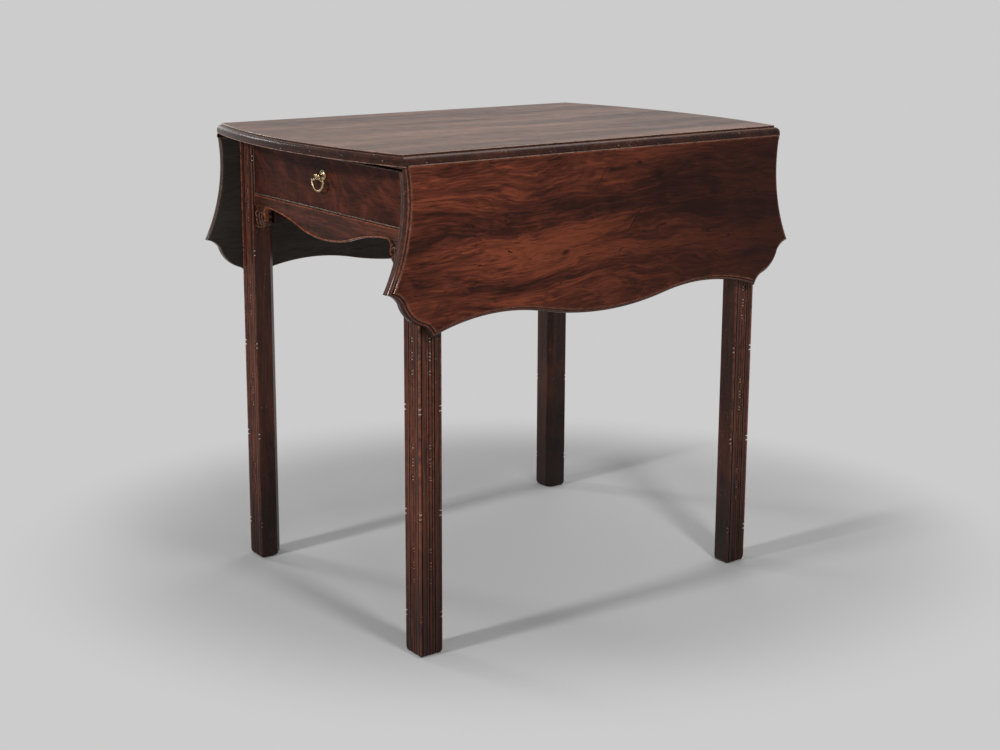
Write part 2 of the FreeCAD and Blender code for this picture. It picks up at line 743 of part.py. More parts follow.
def fly_block(side_name, side):
    """Fixed middle of the outer side rail, with three wooden knuckles at each end."""
    label = f"fly_block_{side_name}"
    across = span(side, side_outer, fly_outer)
    core = box(f"{label}_core", across, (-fly_axis_y, fly_axis_y), (fly_foot, fly_top))
    hole = S.fly_pin_diameter + S.running_clearance * 2
    rounds, cuts = [], []
    for end, along in ENDS.items():
        rounds.append(fly_pin_rod(f"{label}_round_{end}", side, along, S.fly_thickness))
        cuts += knuckle_cuts(f"{label}_cut_{end}", side, along, 1)
        cuts.append(fly_pin_rod(f"{label}_hole_{end}", side, along, hole))
    return node(trimmed(f"{label}_cut", joined(f"{label}_whole", [core] + rounds), cuts), label)


def fly(end, side_name):
    """Swinging bracket with two wooden knuckles and an ogee tip."""
    side, along = SIDES[side_name], ENDS[end]
    label = f"fly_{end}_{side_name}"
    body = new_body(f"{label}_body")

    def at(shares):
        reach = fly_axis_y + (fly_tip_y - fly_axis_y) * shares[0]
        return (reach * along, fly_top - S.fly_depth * shares[1])

    steps = [(at((1, 0)),), ((fly_tip_y * along, fly_top - S.fly_tip_depth),)]
    steps += [tuple(at(shares) for shares in step) for step in FLY_TIP_SHARES]
    steps += [(at((0, 1)),), (at((0, 0)),)]
    sketch = plane_sketch(body, "YZ_Plane", fly_inner * side)
    draw_outline(sketch, at((0, 0)), steps)
    pad(body, sketch, S.fly_thickness, reverse=side < 0)
    barrel = fly_pin_rod(f"{label}_barrel", side, along, S.fly_thickness)
    cuts = knuckle_cuts(f"{label}_cuts", side, along, 0)
    cuts.append(fly_pin_rod(f"{label}_hole", side, along, S.fly_pin_diameter + S.running_clearance * 2))
    return node(trimmed(f"{label}_cut", joined(f"{label}_whole", [body, barrel]), cuts), label)


def fly_pins(side_name, side):
    """Iron pins of the two flies on one side."""
    pins = []
    for end, along in ENDS.items():
        pins.append(fly_pin_rod(f"fly_pin_{end}_{side_name}", side, along, S.fly_pin_diameter))
    return node(group(f"fly_pins_{side_name}_set", pins), f"fly_pins_{side_name}")


def top_screws(name, side, grow):
    """Screws up through a kicker into the top, grown by a clearance when they serve as holes."""
    x = (side_inner - S.kicker_width / 2) * side
    head, shank = S.screw_head_diameter + grow * 2, S.screw_diameter + grow * 2
    sink = S.screw_head_diameter / 2
    screws = []
    for index in (-1, 0, 1):
        y = (rail_back - S.top_screw_inset) * index
        cone = taper(f"{name}_head{index + 1}", head, shank, sink, (x, y, kicker_foot))
        length = S.top_screw_length - sink + grow
        body = rod(f"{name}_shank{index + 1}", shank, length, (x, y, kicker_foot + sink))
        screws.append(joined(f"{name}_{index + 1}", [cone, body]))
    return screws


def drawer_bearers(side_name, side):
    """Runner under and kicker over one side of the drawer."""
    across = span(side, side_inner - S.runner_width, side_inner)
    along = (-rail_back, rail_back)
    runner = box(f"runner_{side_name}_bar", across, along, (runner_top - S.runner_depth, runner_top))
    node(runner, f"drawer_runner_{side_name}")
    over = span(side, side_inner - S.kicker_width, side_inner)
    bar = box(f"kicker_{side_name}_bar", over, along, (kicker_foot, underside))
    holes = top_screws(f"kicker_hole_{side_name}", side, S.seat_clearance)
    node(trimmed(f"kicker_{side_name}_cut", bar, holes), f"drawer_kicker_{side_name}")


def frame_small_pieces():
    """Drawer stops, glue blocks behind the back rail and the screws that hold the top."""
    stops, screws = [], []
    start = drawer_back_end + S.drawer_clearance
    for side_name, side in SIDES.items():
        across = span(side, side_inner - S.runner_width, side_inner)
        tall = (runner_top, runner_top + S.stop_height)
        stops.append(box(f"stop_{side_name}", across, (start, start + S.stop_length), tall))
        screws += top_screws(f"top_screw_{side_name}", side, ZERO)
    node(group("drawer_stop_set", stops), "drawer_stops")
    node(group("top_screw_set", screws), "top_screws")
    blocks = []
    for index in (-1, 0, 1):
        middle = S.glue_block_spacing * index
        across = (middle - S.glue_block_length / 2, middle + S.glue_block_length / 2)
        deep = (rail_back - S.glue_block_size, rail_back)
        tall = (underside - S.glue_block_size, underside)
        blocks.append(box(f"glue_block_{index + 1}", across, deep, tall))
    node(group("glue_block_set", blocks), "glue_blocks")


def drawer():
    """Drawer box: lapped front, grooved sides and back over a thin bottom, cockbeads round the front."""
    face, rear = -rail_face, -(rail_face - S.drawer_front_thickness)
    bead = S.cockbead_thickness
    bed = S.cockbead_depth - S.cockbead_proud
    inner_x = drawer_x - S.drawer_side_thickness
    groove_x = inner_x + S.drawer_groove
    bottom_low = drawer_floor + S.drawer_bottom_rise
    bottom_top = bottom_low + S.drawer_bottom_thickness
    lap_y = rear - S.drawer_lap
    past = S.overrun
    front = box("drawer_front_board", (-drawer_x, drawer_x), (face, rear), (drawer_floor, drawer_top))
    cuts = []
    bed_deep = (face - past, face + bed)
    for side_name, side in SIDES.items():
        lap = span(side, inner_x, drawer_x + past)
        lap_tall = (drawer_floor - past, side_top)
        cuts.append(box(f"drawer_lap_{side_name}", lap, (lap_y, rear + past), lap_tall))
        edge = span(side, drawer_x - bead, drawer_x + past)
        edge_tall = (drawer_floor - past, drawer_top + past)
        cuts.append(box(f"bead_bed_{side_name}", edge, bed_deep, edge_tall))
    wide = (-(drawer_x + past), drawer_x + past)
    for name, low, high in (
        ("bottom", drawer_floor - past, drawer_floor + bead),
        ("top", drawer_top - bead, drawer_top + past),
    ):
        cuts.append(box(f"bead_bed_{name}", wide, bed_deep, (low, high)))
    slot = (rear - S.drawer_groove, rear + past)
    cuts.append(box("front_groove", (-inner_x, inner_x), slot, (bottom_low, bottom_top)))
    post_hole = S.pull_post_diameter + S.seat_clearance * 2
    hole_length = S.drawer_front_thickness + past * 2
    cuts.append(rod("post_hole", post_hole, hole_length, (ZERO, face - past, pull_z), "y"))
    node(trimmed("drawer_front_cut", front, cuts), "drawer_front")

    proud = face - S.cockbead_proud
    deep = (proud, face + bed)
    long = (-drawer_x, drawer_x)
    node(box("bead_top", long, deep, (drawer_top - bead, drawer_top)), "cockbead_top")
    node(box("bead_bottom", long, deep, (drawer_floor, drawer_floor + bead)), "cockbead_bottom")
    for side_name, side in SIDES.items():
        edge = span(side, drawer_x - bead, drawer_x)
        bar = box(f"bead_{side_name}", edge, deep, (drawer_floor + bead, drawer_top - bead))
        node(bar, f"cockbead_{side_name}")
        across = span(side, inner_x, drawer_x)
        wall = box(f"wall_{side_name}", across, (lap_y, drawer_back_end), (drawer_floor, side_top))
        slit = span(side, inner_x - past, groove_x)
        run = (lap_y - past, drawer_back_end + past)
        groove = box(f"wall_groove_{side_name}", slit, run, (bottom_low, bottom_top))
        node(trimmed(f"wall_cut_{side_name}", wall, [groove]), f"drawer_side_{side_name}")
    back_start = drawer_back_end - S.drawer_side_thickness
    within, tall = (-inner_x, inner_x), (bottom_top, side_top)
    node(box("drawer_back_board", within, (back_start, drawer_back_end), tall), "drawer_back")
    thin = (bottom_low, bottom_top)
    panel = box("bottom_middle", within, (rear - S.drawer_groove, drawer_back_end), thin)
    wings = box("bottom_wings", (-groove_x, groove_x), (rear, drawer_back_end), thin)
    node(joined("bottom_panel", [panel, wings]), "drawer_bottom")


def pull():
    """Brass pull: rosette, post with a ball end, nut, and a shaped drop on its pin."""
    face, rear = -rail_face, -(rail_face - S.drawer_front_thickness)
    post_hole = S.pull_post_diameter + S.seat_clearance * 2
    plate = S.pull_rosette_thickness
    rose_start = (ZERO, face - plate, pull_z)
    rose_face = S.pull_rosette_diameter * ROSETTE_FACE_SHARE
    disc = taper("rosette_disc", rose_face, S.pull_rosette_diameter, plate, rose_start, "y")
    bore_start = (ZERO, face - plate - S.overrun, pull_z)
    bore = rod("rosette_bore", post_hole, plate + S.overrun * 2, bore_start, "y")
    node(trimmed("rosette_cut", disc, [bore]), "pull_rosette")
    nut_end = rear + S.pull_nut_thickness
    ball = doc.addObject("Part::Sphere", "post_ball")
    place(bind(ball, Radius=S.pull_ball_diameter / 2), ZERO, pull_y, pull_z)
    shaft = rod("post_shaft", S.pull_post_diameter, nut_end - pull_y, (ZERO, pull_y, pull_z), "y")
    half_ball = S.pull_ball_diameter / 2
    eye_start = (-(half_ball + S.overrun), pull_y, pull_z)
    eye_diameter = S.pull_pin_diameter + S.running_clearance * 2
    eye = rod("post_eye", eye_diameter, S.pull_ball_diameter + S.overrun * 2, eye_start, "x")
    node(trimmed("post_cut", joined("post_whole", [ball, shaft]), [eye]), "pull_post")
    half_nut = S.pull_nut_size / 2
    nut_tall = (pull_z - half_nut, pull_z + half_nut)
    nut = box("nut_block", (-half_nut, half_nut), (rear, nut_end), nut_tall)
    nut_start = (ZERO, rear - S.overrun, pull_z)
    nut_bore = rod("nut_bore", post_hole, S.pull_nut_thickness + S.overrun * 2, nut_start, "y")
    node(trimmed("nut_cut", nut, [nut_bore]), "pull_nut")

    ear_in = half_ball + S.pull_ear_gap
    ear_out = ear_in + S.pull_ear_width
    band = S.pull_band_width
    neck = pull_z - ear_in
    half_plate = S.pull_drop_thickness / 2
    body = new_body("drop_body")

    def ring(narrow):
        half_wide = S.pull_drop_width / 2 - narrow * DROP_NARROW_SHARES[0]
        top = neck - narrow
        tall = S.pull_drop_height - ear_in - narrow * 2
        ear = ear_out - narrow * DROP_NARROW_SHARES[1]
        cusp_x, cusp_z = half_wide * DROP_CUSP_SHARES[0], top - tall * DROP_CUSP_SHARES[1]
        belly_x, belly_z = half_wide * DROP_BELLY_SHARES[0], top - tall * DROP_BELLY_SHARES[1]
        shoulder_x, shoulder_z = (ear + cusp_x) / 2, top - tall * DROP_SHOULDER_SHARE
        steps = [
            ((shoulder_x, shoulder_z), (cusp_x, cusp_z)),
            ((belly_x, belly_z), (ZERO, top - tall)),
            ((-belly_x, belly_z), (-cusp_x, cusp_z)),
            ((-shoulder_x, shoulder_z), (-ear, top)),
            ((ear, top),),
        ]
        draw_outline(sketch, (ear, top), steps)

    sketch = plane_sketch(body, "XZ_Plane", -pull_y - half_plate)
    ring(ZERO)
    ring(band)
    pad(body, sketch, S.pull_drop_thickness)
    ears = []
    for side_name, side in SIDES.items():
        across = span(side, ear_in, ear_out)
        deep = (pull_y - half_plate, pull_y + half_plate)
        ears.append(box(f"ear_{side_name}", across, deep, (neck - band, pull_z + half_plate)))
    pin = rod("drop_pin", S.pull_pin_diameter, ear_out * 2, (-ear_out, pull_y, pull_z), "x")
    node(joined("drop_whole", [body] + ears + [pin]), "pull_drop")


def knuckle_spans(y, own):
    """Intervals of a hinge's outer knuckles, or of its middle one."""
    third = S.hinge_width / 3
    gap = S.hinge_knuckle_gap / 2
    low, high = y - S.hinge_width / 2, y + S.hinge_width / 2
    if own == "top":
        return [(low, low + third - gap), (high - third + gap, high)]
    return [(low + third + gap, high - third - gap)]


def hinge_flap(name, side, y, own):
    """One flap with its knuckles, bored for the pin and countersunk."""
    barrel = pin_rise * 2
    pieces = []
    along = (y - S.hinge_width / 2, y + S.hinge_width / 2)
    start = pin_rise + S.hinge_bed_clearance
    if own == "top":
        across = span(side, hinge_x - S.hinge_top_flap, hinge_x - start)
        pieces.append(box(f"{name}_plate", across, along, (underside, underside + S.hinge_plate)))
    else:
        inner = hinge_x - pin_rise
        across = span(side, inner, inner + S.hinge_plate)
        tall = (hinge_z - S.hinge_leaf_flap, hinge_z - start)
        pieces.append(box(f"{name}_plate", across, along, tall))
    for index, (low, high) in enumerate(knuckle_spans(y, own)):
        barrel_start = (hinge_x * side, low, hinge_z)
        pieces.append(rod(f"{name}_barrel{index}", barrel, high - low, barrel_start, "y"))
        if own == "top":
            across = span(side, hinge_x - start, hinge_x)
            tall = (underside, underside + S.hinge_plate)
        else:
            across = span(side, hinge_x - pin_rise, hinge_x - pin_rise + S.hinge_plate)
            tall = (hinge_z - start, hinge_z)
        pieces.append(box(f"{name}_web{index}", across, (low, high), tall))
    bore = S.hinge_pin_diameter + S.running_clearance * 2
    length = S.hinge_width + S.overrun * 2
    tools = [rod(f"{name}_bore", bore, length, (hinge_x * side, along[0] - S.overrun, hinge_z), "y")]
    tools += flap_screws(f"{name}_sink", side, y, own == "leaf", S.seat_clearance)
    return trimmed(f"{name}_cut", joined(f"{name}_whole", pieces), tools)


def hinges(side_name, side):
    """Two table hinges of one leaf: top flaps, leaf flaps, pins and screws."""
    for own in ("top", "leaf"):
        flaps, screws = [], []
        for end, y in hinge_places.items():
            flaps.append(hinge_flap(f"hinge_{own}_{side_name}_{end}", side, y, own))
            screws += flap_screws(f"hinge_screw_{own}_{side_name}_{end}", side, y, own == "leaf", ZERO)
        node(group(f"hinge_{own}_flap_set_{side_name}", flaps), f"hinge_{own}_flaps_{side_name}")
        node(group(f"hinge_{own}_screw_set_{side_name}", screws), f"hinge_{own}_screws_{side_name}")
    pins = []
    for end, y in hinge_places.items():
        start = (hinge_x * side, y - S.hinge_width / 2, hinge_z)
        pins.append(rod(f"hinge_pin_{side_name}_{end}", S.hinge_pin_diameter, S.hinge_width, start, "y"))
    node(group(f"hinge_pin_set_{side_name}", pins), f"hinge_pins_{side_name}")


top_board()
for end in ENDS:
    for side_name in SIDES:
        leg(end, side_name)
        end_bracket(end, side_name)
        side_bracket(end, side_name)
        fly(end, side_name)
for side_name, side in SIDES.items():
    leaf(side_name, side)
    side_rail(side_name, side)
    fly_block(side_name, side)
    fly_pins(side_name, side)
    drawer_bearers(side_name, side)
    hinges(side_name, side)
end_rail("front", "drawer_rail")
end_rail("back", "back_rail")
upper_rail()
end_bead("front", "drawer_rail_bead")
end_bead("back", "back_rail_bead")
frame_small_pieces()
drawer()
pull()
doc.recompute()

failed = [o.Name for o in doc.Objects if "Invalid" in o.State or "Error" in o.State]
bad = [n.Label for n in nodes if n.Shape.isNull() or not n.Shape.isValid() or not n.Shape.Solids]
if failed or bad:
    raise RuntimeError(f"failed objects: {failed}; bad shapes: {bad}")
os.makedirs("parts", exist_ok=True)
for part in nodes:
    part.Shape.exportStep(f"parts/{part.Label}.step")
    print(part.Label, len(part.Shape.Solids), round(part.Shape.Volume, 1))
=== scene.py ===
import logging
import math
from dataclasses import dataclass, replace
from enum import Enum
from typing import Iterable, Sequence

import bmesh
import bpy
from mathutils import Matrix, Vector


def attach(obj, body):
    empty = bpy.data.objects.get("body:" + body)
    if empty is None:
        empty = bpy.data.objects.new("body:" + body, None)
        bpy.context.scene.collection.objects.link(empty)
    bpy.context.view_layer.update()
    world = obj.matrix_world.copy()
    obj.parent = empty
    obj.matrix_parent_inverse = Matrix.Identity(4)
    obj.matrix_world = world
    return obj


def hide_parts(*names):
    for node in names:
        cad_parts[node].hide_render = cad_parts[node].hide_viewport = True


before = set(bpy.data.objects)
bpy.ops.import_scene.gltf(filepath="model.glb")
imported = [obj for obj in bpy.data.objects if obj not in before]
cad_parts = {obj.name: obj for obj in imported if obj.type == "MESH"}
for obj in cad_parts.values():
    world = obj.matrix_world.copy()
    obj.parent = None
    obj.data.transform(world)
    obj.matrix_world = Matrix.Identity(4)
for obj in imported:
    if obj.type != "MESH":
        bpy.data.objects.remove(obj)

Point = tuple[float, float]
Triple = tuple[float, float, float]
Colour = tuple[float, float, float]
Material = bpy.types.Material
Socket = bpy.types.NodeSocket

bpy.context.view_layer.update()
LOG = logging.getLogger("pembroke_table")
MM = 0.001
STRAIGHT = 1e-9
WELD = 1e-4
SHARP = 32.0
MITRE_LIMIT = 0.5
NOISE_MIDDLE = 0.5
NO_TURN: Triple = (0.0, 0.0, 0.0)
EVEN: Triple = (1.0, 1.0, 1.0)
# Pale colour of chipped nicks and arrises, also a painted highlight.
PALE_CHIP_AND_HIGHLIGHT: Colour = (0.50, 0.46, 0.42)
# Dark colour of dirt and painted shade in quirks, joints and hollows.
DIRT_AND_SHADE_COLOUR: Colour = (0.0085, 0.0068, 0.006)


class Grain(Enum):
    """The way a board's grain runs, as the turn that lays it along X."""

    ACROSS = (0.0, 0.0, 0.0)
    LONG = (0.0, 0.0, -math.pi / 2)
    UPRIGHT = (0.0, math.pi / 2, 0.0)


class Side(Enum):
    """A side of the table, with its sign on X."""

    RIGHT = 1
    LEFT = -1

    @property
    def word(self) -> str:
        """The side's name in lower case."""
        return self.name.lower()


class End(Enum):
    """An end of the table, with its sign on Y."""

    FRONT = -1
    BACK = 1

    @property
    def word(self) -> str:
        """The end's name in lower case."""
        return self.name.lower()


class Moulding(Enum):
    """A part of the leg's section, with its word and its wear."""

    PLAIN = ("plain", 0.0)
    FIELD = ("field", 0.0)
    EDGE = ("edge", 0.3)
    FLANK = ("flank", 0.4)
    REED = ("reed", 0.2)
    CORNER = ("corner", 0.65)
    # Quirks are darkened with dirt and painted shade.
    QUIRK = ("quirk", -0.97)

    @property
    def wear(self) -> float:
        """How worn it is; below nothing it is darkened with dirt and painted shade."""
        return self.value[1]


@dataclass(frozen=True)
class Layout:
    """The lines that several sub-assemblies share, in millimetres."""

    hinge_x: float = 258.0
    hinge_y: float = 230.0
    hinge_z: float = 698.0
    hinge_half: float = 16.4
    end_y: float = 345.0
    underside: float = 695.0
    rail_face: float = 314.5
    rail_half: float = 214.0
    rail_thick: float = 22.0


LAYOUT = Layout()


def circle_points(start: Point, via: Point, end: Point, count: int) -> list[Point]:
    """Walks the circle arc through three points.

    Args:
        start: Where the arc starts, which isn't repeated.
        via: A point that the arc passes.
        end: Where the arc ends.
        count: How many points are given.

    Returns:
        The points after the start, up to and including the end.
    """
    (ax, ay), (bx, by), (cx, cy) = start, via, end
    steps = range(1, count + 1)
    det = 2 * (ax * (by - cy) + bx * (cy - ay) + cx * (ay - by))
    if abs(det) < STRAIGHT:
        return [(ax + (cx - ax) * i / count, ay + (cy - ay) * i / count) for i in steps]
    sa, sb, sc = ax * ax + ay * ay, bx * bx + by * by, cx * cx + cy * cy
    ox = (sa * (by - cy) + sb * (cy - ay) + sc * (ay - by)) / det
    oy = (sa * (cx - bx) + sb * (ax - cx) + sc * (bx - ax)) / det
    radius = math.hypot(ax - ox, ay - oy)
    first, mid, last = (math.atan2(y - oy, x - ox) for x, y in (start, via, end))
    turn = (last - first) % math.tau
    if (mid - first) % math.tau > turn:
        turn -= math.tau
    angles = [first + turn * i / count for i in steps]
    return [(ox + radius * math.cos(a), oy + radius * math.sin(a)) for a in angles]


def walk(start: Point, arcs: Iterable[Sequence[Point]], count: int) -> list[Point]:
    """Walks arcs one after the other.

    Args:
        start: The first point.
        arcs: For each arc a point that it passes and its end.
        count: Points on each arc.

    Returns:
        Every point, the start included.
    """
    points = [start]
    for via, stop in arcs:
        points += circle_points(points[-1], via, stop, count)
    return points


def smooth_path(points: Sequence[Point], count: int) -> list[Point]:
    """Draws a smooth line through given points.

    Args:
        points: The points that the line passes.
        count: Points on each stretch.

    Returns:
        The line's points.
    """
    line = [points[0]]
    for i in range(len(points) - 1):
        p0, p1 = points[max(i - 1, 0)], points[i]
        p2, p3 = points[i + 1], points[min(i + 2, len(points) - 1)]
        for k in range(1, count + 1):
            t = k / count
            xy = []
            for a, b, c, d in zip(p0, p1, p2, p3):
                bend = 2 * a - 5 * b + 4 * c - d
                twist = 3 * b - a - 3 * c + d
                xy.append(0.5 * (2 * b + (c - a) * t + bend * t * t + twist * t**3))
            line.append((xy[0], xy[1]))
    return line


def inset_loop(points: Sequence[Point], distance: float) -> list[Point]:
    """Moves a closed outline inwards.

    Args:
        points: The outline, counter-clockwise.
        distance: How far each side moves in.

    Returns:
        The moved outline, point for point.
    """
    moved = []
    total = len(points)
    for i, (x, y) in enumerate(points):
        (px, py), (nx, ny) = points[i - 1], points[(i + 1) % total]
        a = Vector((x - px, y - py)).normalized()
        b = Vector((nx - x, ny - y)).normalized()
        normal = Vector((-a.y - b.y, a.x + b.x))
        size = max(normal.length, MITRE_LIMIT)
        step_x = normal.x / size * distance * 2 / size
        step_y = normal.y / size * distance * 2 / size
        moved.append((x + step_x, y + step_y))
    return moved


def turns_left(points: Sequence[Point]) -> bool:
    """Whether a closed outline runs counter-clockwise."""
    following = [*points[1:], points[0]]
    return sum(x * ny - nx * y for (x, y), (nx, ny) in zip(points, following)) > 0


def round_profile(half_wide: float, half_tall: float, count: int = 12) -> list[Point]:
    """An oval profile of so many points."""
    angles = [math.tau * i / count for i in range(count)]
    return [(half_wide * math.cos(a), half_tall * math.sin(a)) for a in angles]


class Skin:
    """A skin grown ring by ring with the extrude operator, in millimetres until it is placed."""

    def __init__(self) -> None:
        """Starts with nothing."""
        self.bm = bmesh.new()
        # The wear layer also carries dirt and painted shade below nothing, and pale chips with
        # painted highlight above one.
        self.worn = self.bm.verts.layers.float.new("wear")
        self.verts: list[bmesh.types.BMVert] = []

    def mark(self, wear: float | Sequence[float]) -> None:
        """Notes how worn the last ring is.

        Args:
            wear: The wear of the ring, or of each point.
        """
        levels = wear if isinstance(wear, (list, tuple)) else [wear] * len(self.verts)
        for vert, level in zip(self.verts, levels):
            vert[self.worn] = level

    def start(
        self, ring: Sequence[Vector], wear: float | Sequence[float] = 0.0, cap: bool = True
    ) -> None:
        """Lays the first ring.

        Args:
            ring: The ring's points.
            wear: The wear of the ring, or of each point.
            cap: Whether the ring is closed with a face.
        """
        self.verts = [self.bm.verts.new(p) for p in ring]
        if cap:
            self.bm.faces.new(self.verts)
        else:
            for pair in zip(self.verts, self.verts[1:] + self.verts[:1]):
                self.bm.edges.new(pair)
        self.mark(wear)

    def grow(self, ring: Sequence[Vector], wear: float | Sequence[float] = 0.0) -> None:
        """Extrudes the last ring to a new place, point for point.

        Args:
            ring: Where the points of the new ring lie.
            wear: The wear of the ring, or of each point.
        """
        pairs = zip(self.verts, self.verts[1:] + self.verts[:1])
        edges = [self.bm.edges.get(pair) for pair in pairs]
        grown = bmesh.ops.extrude_edge_only(self.bm, edges=edges)["geom"]
        fresh = {g for g in grown if isinstance(g, bmesh.types.BMVert)}
        follow = []
        for vert in self.verts:
            ends = (edge.other_vert(vert) for edge in vert.link_edges)
            follow.append(next(end for end in ends if end in fresh))
        for vert, place in zip(follow, ring):
            vert.co = place
        self.verts = follow
        self.mark(wear)

    def lay(self, ring: Sequence[Vector], wear: float | Sequence[float] = 0.0) -> None:
        """Lays the first ring, or grows the skin by the next one.

        Args:
            ring: The ring's points.
            wear: The wear of the ring, or of each point.
        """
        if self.verts:
            self.grow(ring, wear)
        else:
            self.start(ring, wear)

    def close(self) -> "Skin":
        """Closes the last ring with a face."""
        self.bm.faces.new(self.verts)
        return self

    def join_ends(self) -> "Skin":
        """Joins a skin that has come back to its start."""
        bmesh.ops.remove_doubles(self.bm, verts=self.bm.verts, dist=WELD)
        return self

    def add(self, other: "Skin") -> None:
        """Takes in another skin, which is used up.

        Args:
            other: The other skin.
        """
        mesh = bpy.data.meshes.new("joined")
        other.bm.to_mesh(mesh)
        other.bm.free()
        self.bm.from_mesh(mesh)
        bpy.data.meshes.remove(mesh)

    def block(self, low: Vector, high: Vector) -> None:
        """Adds a block.

        Args:
            low: Its lowest corner.
            high: The corner across from it.
        """
        made = bmesh.ops.create_cube(self.bm, size=1.0)["verts"]
        bmesh.ops.scale(self.bm, vec=high - low, verts=made)
        bmesh.ops.translate(self.bm, vec=(low + high) / 2, verts=made)

    def piece(self, name: str, sharp: float = SHARP) -> bpy.types.Object:
        """Makes the skin an object at the origin, in metres.

        Args:
            name: The piece's name.
            sharp: The angle in degrees from which an edge stays sharp.

        Returns:
            The object, not yet dressed.
        """
        bmesh.ops.scale(self.bm, vec=(MM, MM, MM), verts=self.bm.verts)
        bmesh.ops.recalc_face_normals(self.bm, faces=self.bm.faces)
        mesh = bpy.data.meshes.new(name)
        self.bm.to_mesh(mesh)
        self.bm.free()
        mesh.polygons.foreach_set("use_smooth", [True] * len(mesh.polygons))
        mesh.set_sharp_from_angle(angle=math.radians(sharp))
        obj = bpy.data.objects.new(name, mesh)
        bpy.context.scene.collection.objects.link(obj)
        return obj


def carve(obj: bpy.types.Object, cutter: Skin) -> None:
    """Cuts the shape of a skin out of a closed piece.

    Args:
        obj: The piece.
        cutter: The skin to cut with, in millimetres.
    """
    tool = cutter.piece("cutter")
    cut = obj.modifiers.new("cut", "BOOLEAN")
    cut.operation = "DIFFERENCE"
    cut.solver = "EXACT"
    cut.use_self = True
    cut.object = tool
    shaped = obj.evaluated_get(bpy.context.evaluated_depsgraph_get())
    done = bpy.data.meshes.new_from_object(shaped)
    obj.modifiers.clear()
    old, obj.data = obj.data, done
    bpy.data.meshes.remove(old)
    bpy.data.meshes.remove(tool.data)
    done.set_sharp_from_angle(angle=math.radians(SHARP))


def hinge_beds(
    sides: Iterable[Side], cuts: Sequence[tuple[float, float, float, float]]
) -> Skin:
    """Blocks to cut the beds of the table hinges with.

    Args:
        sides: The sides whose hinges are let in.
        cuts: For each block its near and far distance from the middle, its floor and its top.

    Returns:
        The blocks of both hinges on each side.
    """
    beds = Skin()
    half = LAYOUT.hinge_half
    for side in sides:
        for y in (-LAYOUT.hinge_y, LAYOUT.hinge_y):
            for near, far, floor, top in cuts:
                low, high = sorted((near * side.value, far * side.value))
                beds.block(Vector((low, y - half, floor)), Vector((high, y + half, top)))
    return beds


def sweep(
    path: Sequence[Vector],
    profile: Sequence[Point],
    up: Vector,
    sizes: Sequence[float] | None = None,
    wear: float = 0.0,
) -> Skin:
    """Runs a profile along a path.

    Args:
        path: The path's points.
        profile: The profile's points, across the path and along up.
        up: A direction square to the path all the way.
        sizes: The profile's size at each point of the path.
        wear: The wear of the whole sweep.

    Returns:
        The swept skin, closed at both ends.
    """
    skin = Skin()
    last = len(path) - 1
    for i, spot in enumerate(path):
        run = (path[min(i + 1, last)] - path[max(i - 1, 0)]).normalized()
        side = run.cross(up).normalized()
        size = sizes[i] if sizes else 1.0
        skin.lay([spot + side * (u * size) + up * (v * size) for u, v in profile], wear)
    return skin.close()


def turned(profile: Sequence[Point], at: Vector, axis: Vector, steps: int) -> Skin:
    """Turns a profile about an axis, as on a lathe.

    Args:
        profile: Points of distance along the axis and radius, starting and ending on the axis.
        at: Where the axis starts.
        axis: The axis's direction.
        steps: Facets round the axis.

    Returns:
        The turned skin.
    """
    skin = Skin()
    side = axis.orthogonal().normalized()
    verts = [skin.bm.verts.new(at + axis * along + side * radius) for along, radius in profile]
    edges = [skin.bm.edges.new(pair) for pair in zip(verts, verts[1:])]
    bmesh.ops.spin(
        skin.bm,
        geom=verts + edges,
        cent=at,
        axis=axis,
        angle=math.tau,
        steps=steps,
        use_merge=True,
    )
    return skin.join_ends()


